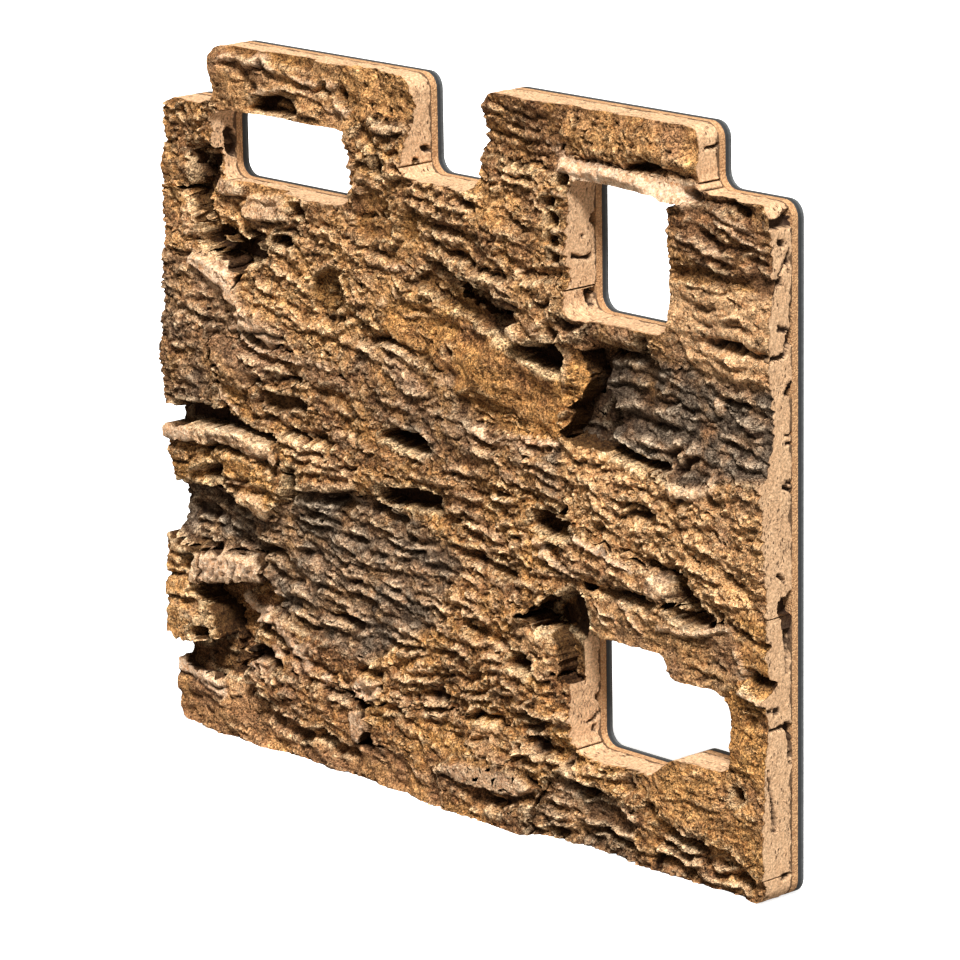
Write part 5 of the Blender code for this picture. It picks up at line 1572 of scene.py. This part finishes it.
def makeGroups():
    # crumbs: fine light and dark grains of cork, for colour and bump
    w, given, result = startGroup(
        "corkCrumbs", [("Vector", "Vector", None), ("Scale", "Float", 1.0)],
        [("Tone", "Float"), ("Relief", "Float")])
    place = w.node("VectorMath", operation="SCALE")
    w.join(given["Vector"], place.inputs[0])
    w.join(given["Scale"], place.inputs["Scale"])
    place = place.outputs[0]
    fine = w.noise(place, 900, 2)
    middle = w.noise(place, 330, 3)
    coarse = w.noise(place, 120, 3)
    larger = w.math("ADD", w.times(middle, 0.4), w.times(coarse, 0.3))
    w.join(w.math("ADD", w.times(fine, 0.3), larger), result["Tone"])
    w.join(w.math("ADD", w.times(fine, 0.35), w.times(middle, 0.65)), result["Relief"])

    # sawn cork: pale, with short dark pores and faint year rings
    w, given, result = startGroup("sawnCork", [("Vector", "Vector", None)],
                                  [("Color", "Color"), ("Relief", "Float")])
    crumbs = placeGroup(w, "corkCrumbs", Vector=given["Vector"], Scale=1.0)
    tone = w.remap(crumbs["Tone"], 0.32, 0.68)
    colour = w.mix(tone, *sawnColours["cork"])
    cloud = w.remap(w.noise(given["Vector"], 28, 3), 0.35, 0.7)
    colour = w.mix(w.times(cloud, 0.35), colour, sawnColours["cloud"])
    pores = w.node("TexVoronoi", feature="F1")
    w.join(w.stretched(given["Vector"], (1, 2.2, 1)), pores.inputs["Vector"])
    pores.inputs["Scale"].default_value = 170
    here = w.remap(w.noise(given["Vector"], 60, 2), 0.46, 0.58)
    pore = w.times(w.remap(pores.outputs["Distance"], 0.30, 0.14), here)
    colour = w.mix(w.times(pore, 0.85), colour, sawnColours["pore"])
    speck = w.remap(w.noise(given["Vector"], 520, 3, 0.7), 0.38, 0.62, 0.66, 1.26)
    colour = w.mix(1.0, colour, speck, "MULTIPLY")
    ripple = w.noise(w.stretched(given["Vector"], (1.0, 1.0, 0.5)), 90, 3, 0.6)
    crack = w.remap(w.math("ABSOLUTE", w.math("SUBTRACT", ripple, 0.5)), 0.002, 0.012, 1.0, 0.0)
    crack = w.times(crack, w.remap(w.noise(given["Vector"], 34, 2), 0.47, 0.55))
    colour = w.mix(w.times(crack, 0.8), colour, sawnColours["crack"])
    # the broken joint to the board behind
    axes = w.node("SeparateXYZ")
    w.join(given["Vector"], axes.inputs[0])
    uneven = w.times(w.math("SUBTRACT", w.noise(given["Vector"], 70, 3), 0.48), 0.012)
    joint = w.remap(w.math("ADD", axes.outputs[1], uneven), 0.0121, 0.0128)
    colour = w.mix(w.times(joint, 0.85), colour, sawnColours["joint"])
    w.join(colour, result["Color"])
    w.join(w.math("SUBTRACT", crumbs["Relief"], w.times(pore, 1.2)), result["Relief"])

    # bark skin: crust colours from the masks that the mesh carries
    w, given, result = startGroup(
        "barkSkin", [("Vector", "Vector", None), ("Deep", "Float", 0.0), ("Crest_highlight", "Float", 0.0),
                     ("Fresh", "Float", 0.0), ("Warm", "Float", 0.5), ("Ashy", "Float", 0.0)],
        [("Color", "Color"), ("Relief", "Float")])
    crumbs = placeGroup(w, "corkCrumbs", Vector=given["Vector"], Scale=1.0)
    tone = w.remap(crumbs["Tone"], 0.38, 0.62)
    brown, ochre, grey, cream = (w.mix(tone, *skinColours[name])
                                 for name in ("brown", "ochre", "grey", "cream"))
    colour = w.mix(given["Warm"], brown, ochre)
    colour = w.mix(given["Ashy"], colour, grey)
    # painted highlight on the crests, paler where the bark is ashy
    light = w.mix(given["Ashy"], *skinColours["crest_highlights"])
    lit = w.times(given["Crest_highlight"], w.remap(tone, 0.1, 0.8, 0.2, 0.9))
    colour = w.mix(lit, colour, light)
    fresh = w.times(given["Fresh"], 1.0, clamp=True)
    colour = w.mix(fresh, colour, cream)
    fibres = w.noise(w.stretched(given["Vector"], (0.35, 1.0, 1.3)), 260, 3, 0.65)
    fibres = w.remap(fibres, 0.36, 0.64, 0.75, 1.2)
    speck = w.remap(w.noise(given["Vector"], 700, 3, 0.75), 0.40, 0.60, 0.38, 1.52)
    calm = w.times(fresh, 0.6)
    specks = w.mix(calm, w.times(fibres, speck), (1.0, 1.0, 1.0))
    colour = w.mix(1.0, colour, specks, "MULTIPLY")
    # thin cracks where a noise passes its middle, and pinholes, darkened with painted shade
    ripple = w.noise(w.stretched(given["Vector"], (0.7, 1.0, 1.25)), 190, 4, 0.62)
    crack = w.remap(w.math("ABSOLUTE", w.math("SUBTRACT", ripple, 0.5)), 0.004, 0.026, 1.0, 0.0)
    crack = w.times(crack, w.remap(w.noise(given["Vector"], 95, 2), 0.44, 0.56))
    holes = w.node("TexVoronoi", feature="F1")
    w.join(given["Vector"], holes.inputs["Vector"])
    holes.inputs["Scale"].default_value = 330
    here = w.remap(w.noise(given["Vector"], 130, 2), 0.50, 0.58)
    hole = w.times(w.remap(holes.outputs["Distance"], 0.34, 0.18), here)
    gapShade = w.times(w.math("MAXIMUM", crack, hole), w.remap(fresh, 0.0, 1.0, 1.0, 0.3))
    colour = w.mix(w.times(gapShade, 0.86), colour, skinColours["gapShade"])
    shadow = w.math("POWER", given["Deep"], 1.1)
    colour = w.mix(w.times(shadow, 0.97), colour, skinColours["shadow"])
    w.join(colour, result["Color"])
    w.join(w.math("SUBTRACT", crumbs["Relief"], w.times(gapShade, 0.5)), result["Relief"])

    # pressed granules
    w, given, result = startGroup("corkGranules", [("Vector", "Vector", None)],
                                  [("Color", "Color"), ("Relief", "Float")])
    grains = w.node("TexVoronoi", feature="F1")
    w.join(given["Vector"], grains.inputs["Vector"])
    grains.inputs["Scale"].default_value = 700
    pick = w.node("SeparateColor")
    w.join(grains.outputs["Color"], pick.inputs[0])
    colour = w.mix(pick.outputs[0], *granuleColours["cork"])
    seamMask = w.remap(grains.outputs["Distance"], 0.45, 0.75)
    colour = w.mix(w.times(seamMask, 0.4), colour, granuleColours["seam"])
    w.join(colour, result["Color"])
    w.join(w.remap(grains.outputs["Distance"], 0.8, 0.2), result["Relief"])


def startMaterial(name):
    material = bpy.data.materials.new(name)
    material.use_nodes = True
    wiring = Wiring(material.node_tree)
    shader = material.node_tree.nodes["Principled BSDF"]
    coordinates = wiring.node("TexCoord").outputs["Object"]
    return material, wiring, shader, coordinates


def attribute(w, name):
    made = w.node("Attribute", attribute_type="GEOMETRY", attribute_name=name)
    return made.outputs["Fac"]


def addBump(w, shader, height, distance, strength=1.0):
    bump = w.node("Bump")
    bump.inputs["Distance"].default_value = distance
    bump.inputs["Strength"].default_value = strength
    w.feed(bump.inputs["Height"], height)
    w.join(bump.outputs[0], shader.inputs["Normal"])


barkFinish = {
    "ochre": {"tint": (1.0, 0.97, 0.92), "roughness": 0.82, "bump": 0.0022},
    "brown": {"tint": (0.95, 0.92, 0.9), "roughness": 0.85, "bump": 0.0022},
    "grey": {"tint": (1.0, 0.97, 0.93), "roughness": 0.88, "bump": 0.0022},
    "pale": {"tint": (1.0, 0.98, 0.96), "roughness": 0.8, "bump": 0.0016},
}


def makeBarkMaterial(slot):
    finish = barkFinish[slot]
    material, w, shader, coordinates = startMaterial("bark " + slot)
    carried = {key: attribute(w, key.lower()) for key in ("Deep", "Crest_highlight", "Fresh", "Warm", "Ashy")}
    skin = placeGroup(w, "barkSkin", Vector=coordinates, **carried)
    sawn = placeGroup(w, "sawnCork", Vector=coordinates)
    tinted = w.mix(1.0, skin["Color"], finish["tint"], "MULTIPLY")
    # painted shade in the pockets of the sawn walls
    pocketShade = w.times(attribute(w, "deep"), 0.95)
    sawnColour = w.mix(pocketShade, sawn["Color"], (0.03, 0.014, 0.008))
    cut = attribute(w, "sawn")
    w.join(w.mix(cut, tinted, sawnColour), shader.inputs["Base Color"])
    height = w.node("Mix", data_type="FLOAT")
    w.join(cut, height.inputs[0])
    w.join(skin["Relief"], height.inputs[2])
    w.join(w.times(sawn["Relief"], 0.4), height.inputs[3])
    shader.inputs["Roughness"].default_value = finish["roughness"]
    shader.inputs["Specular IOR Level"].default_value = 0.15
    addBump(w, shader, height.outputs[0], finish["bump"])
    return material


makeGroups()
barkMaterials = {slot: makeBarkMaterial(slot) for slot in barkFinish}
for number, (name, piece) in enumerate({**bark, **deepBark}.items()):
    makeBark(name, piece, number)
faceCount = sum(len(o.data.polygons) for o in bpy.data.objects if o.type == "MESH")
print("bark made:", faceCount, "faces in all")

# pressed cork board
material, w, shader, coordinates = startMaterial("pressed cork")
granules = placeGroup(w, "corkGranules", Vector=coordinates)
w.join(granules["Color"], shader.inputs["Base Color"])
shader.inputs["Roughness"].default_value = 0.85
addBump(w, shader, granules["Relief"], 0.0004)
nodes["cork_board"].data.materials.clear()
nodes["cork_board"].data.materials.append(material)

# dark backing sheet
backing = {"arris": 0.9, "segments": 2, "level": 0.01, "sharp": 1.2, "paintedLightFrom": (0.0222, 0.0252),
           "dark": (0.030, 0.032, 0.034), "paintedLight": (0.16, 0.17, 0.175), "roughness": 0.55}
body = bmesh.new()
body.from_mesh(nodes["backing_sheet"].data)
bmesh.ops.remove_doubles(body, verts=body.verts, dist=reading["weld"])
bmesh.ops.dissolve_limit(body, angle_limit=backing["level"], verts=body.verts, edges=body.edges)
sharp = [e for e in body.edges if e.calc_face_angle(0) > backing["sharp"]]
bmesh.ops.bevel(body, geom=sharp, offset=backing["arris"] * mm, segments=backing["segments"],
                profile=0.5, affect="EDGES", clamp_overlap=True, material=-1)
mesh = bpy.data.meshes.new("backing")
body.to_mesh(mesh)
body.free()
sheet = bpy.data.objects.new("backing", mesh)
bpy.context.scene.collection.objects.link(sheet)
material, w, shader, coordinates = startMaterial("charcoal sheet")
axes = w.node("SeparateXYZ")
w.join(coordinates, axes.inputs[0])
# painted light: the sheet turns lighter towards the back, away from the board
litTowardsBack = w.remap(axes.outputs[1], *backing["paintedLightFrom"])
speckle = w.remap(w.noise(coordinates, 240, 3), 0.35, 0.7, 0.5, 1.0)
colour = w.mix(w.times(litTowardsBack, speckle), backing["dark"], backing["paintedLight"])
w.join(colour, shader.inputs["Base Color"])
shader.inputs["Roughness"].default_value = backing["roughness"]
addBump(w, shader, w.noise(coordinates, 700, 2), 0.0002, 0.5)
mesh.materials.append(material)
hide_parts("backing_sheet")
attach(sheet, "root")
print("board and backing made")

# floor, light and camera
ground = {"size": 15, "lit": (0.22, 0.21, 0.20), "seen": (0.95, 0.95, 0.95), "glow": 0.8}
floorMesh = bpy.data.meshes.new("floor")
body = bmesh.new()
bmesh.ops.create_grid(body, x_segments=2, y_segments=2, size=ground["size"])
body.to_mesh(floorMesh)
body.free()
floor = bpy.data.objects.new("floor", floorMesh)
bpy.context.scene.collection.objects.link(floor)
material, w, shader, coordinates = startMaterial("floor")
# the floor looks white, but throws back little light, as under a lit table
seen = w.node("LightPath").outputs["Is Camera Ray"]
w.join(w.mix(seen, ground["lit"], ground["seen"]), shader.inputs["Base Color"])
w.join(w.mix(seen, (0, 0, 0), (1, 1, 1)), shader.inputs["Emission Color"])
shader.inputs["Emission Strength"].default_value = ground["glow"]
shader.inputs["Roughness"].default_value = 1.0
shader.inputs["Specular IOR Level"].default_value = 0.0
floorMesh.materials.append(material)

studio = {"sky": 0.31, "tint": (1.0, 0.90, 0.77), "key": 5.7, "keyFrom": (0.42, -0.42, 0.80),
          "keySoft": 13, "side": 0.35, "sideFrom": (1.0, -0.1, 0.35), "sideSoft": 50}
world = bpy.data.worlds.new("studio")
world.use_nodes = True
w = Wiring(world.node_tree)
seen = w.node("LightPath").outputs["Is Camera Ray"]
sky = world.node_tree.nodes["Background"].inputs
w.join(w.mix(seen, studio["tint"], (1, 1, 1)), sky["Color"])
sky["Strength"].default_value = studio["sky"]
bpy.context.scene.world = world


def addLight(name, power, soft, direction):
    light = bpy.data.lights.new(name, "SUN")
    light.energy, light.angle = power, math.radians(soft)
    holder = bpy.data.objects.new(name, light)
    bpy.context.scene.collection.objects.link(holder)
    holder.rotation_euler = Vector(direction).to_track_quat("Z", "Y").to_euler()


addLight("key", studio["key"], studio["keySoft"], studio["keyFrom"])
addLight("side", studio["side"], studio["sideSoft"], studio["sideFrom"])
bpy.context.scene.view_settings.view_transform = "Standard"

view = {"azimuth": 47.3666, "elevation": 14.548, "roll": -0.9383, "distance": 3.67202,
        "target": (-0.0102343, 0.026, 0.2430889), "lens": 185.404}
azimuth, elevation, roll = (math.radians(view[key]) for key in ("azimuth", "elevation", "roll"))
back = Vector((math.sin(azimuth) * math.cos(elevation), -math.cos(azimuth) * math.cos(elevation),
               math.sin(elevation)))
right = Vector((math.cos(azimuth), math.sin(azimuth), 0))
up = back.cross(right)
turnedRight = right * math.cos(roll) + up * math.sin(roll)
turnedUp = up * math.cos(roll) - right * math.sin(roll)
camera = bpy.data.objects.new("camera", bpy.data.cameras.new("camera"))
camera.data.lens = view["lens"]
camera.matrix_world = (Matrix.Translation(Vector(view["target"]) + back * view["distance"])
                       @ Matrix((turnedRight, turnedUp, back)).transposed().to_4x4())
bpy.context.scene.collection.objects.link(camera)
bpy.context.scene.camera = camera
print("stage set")
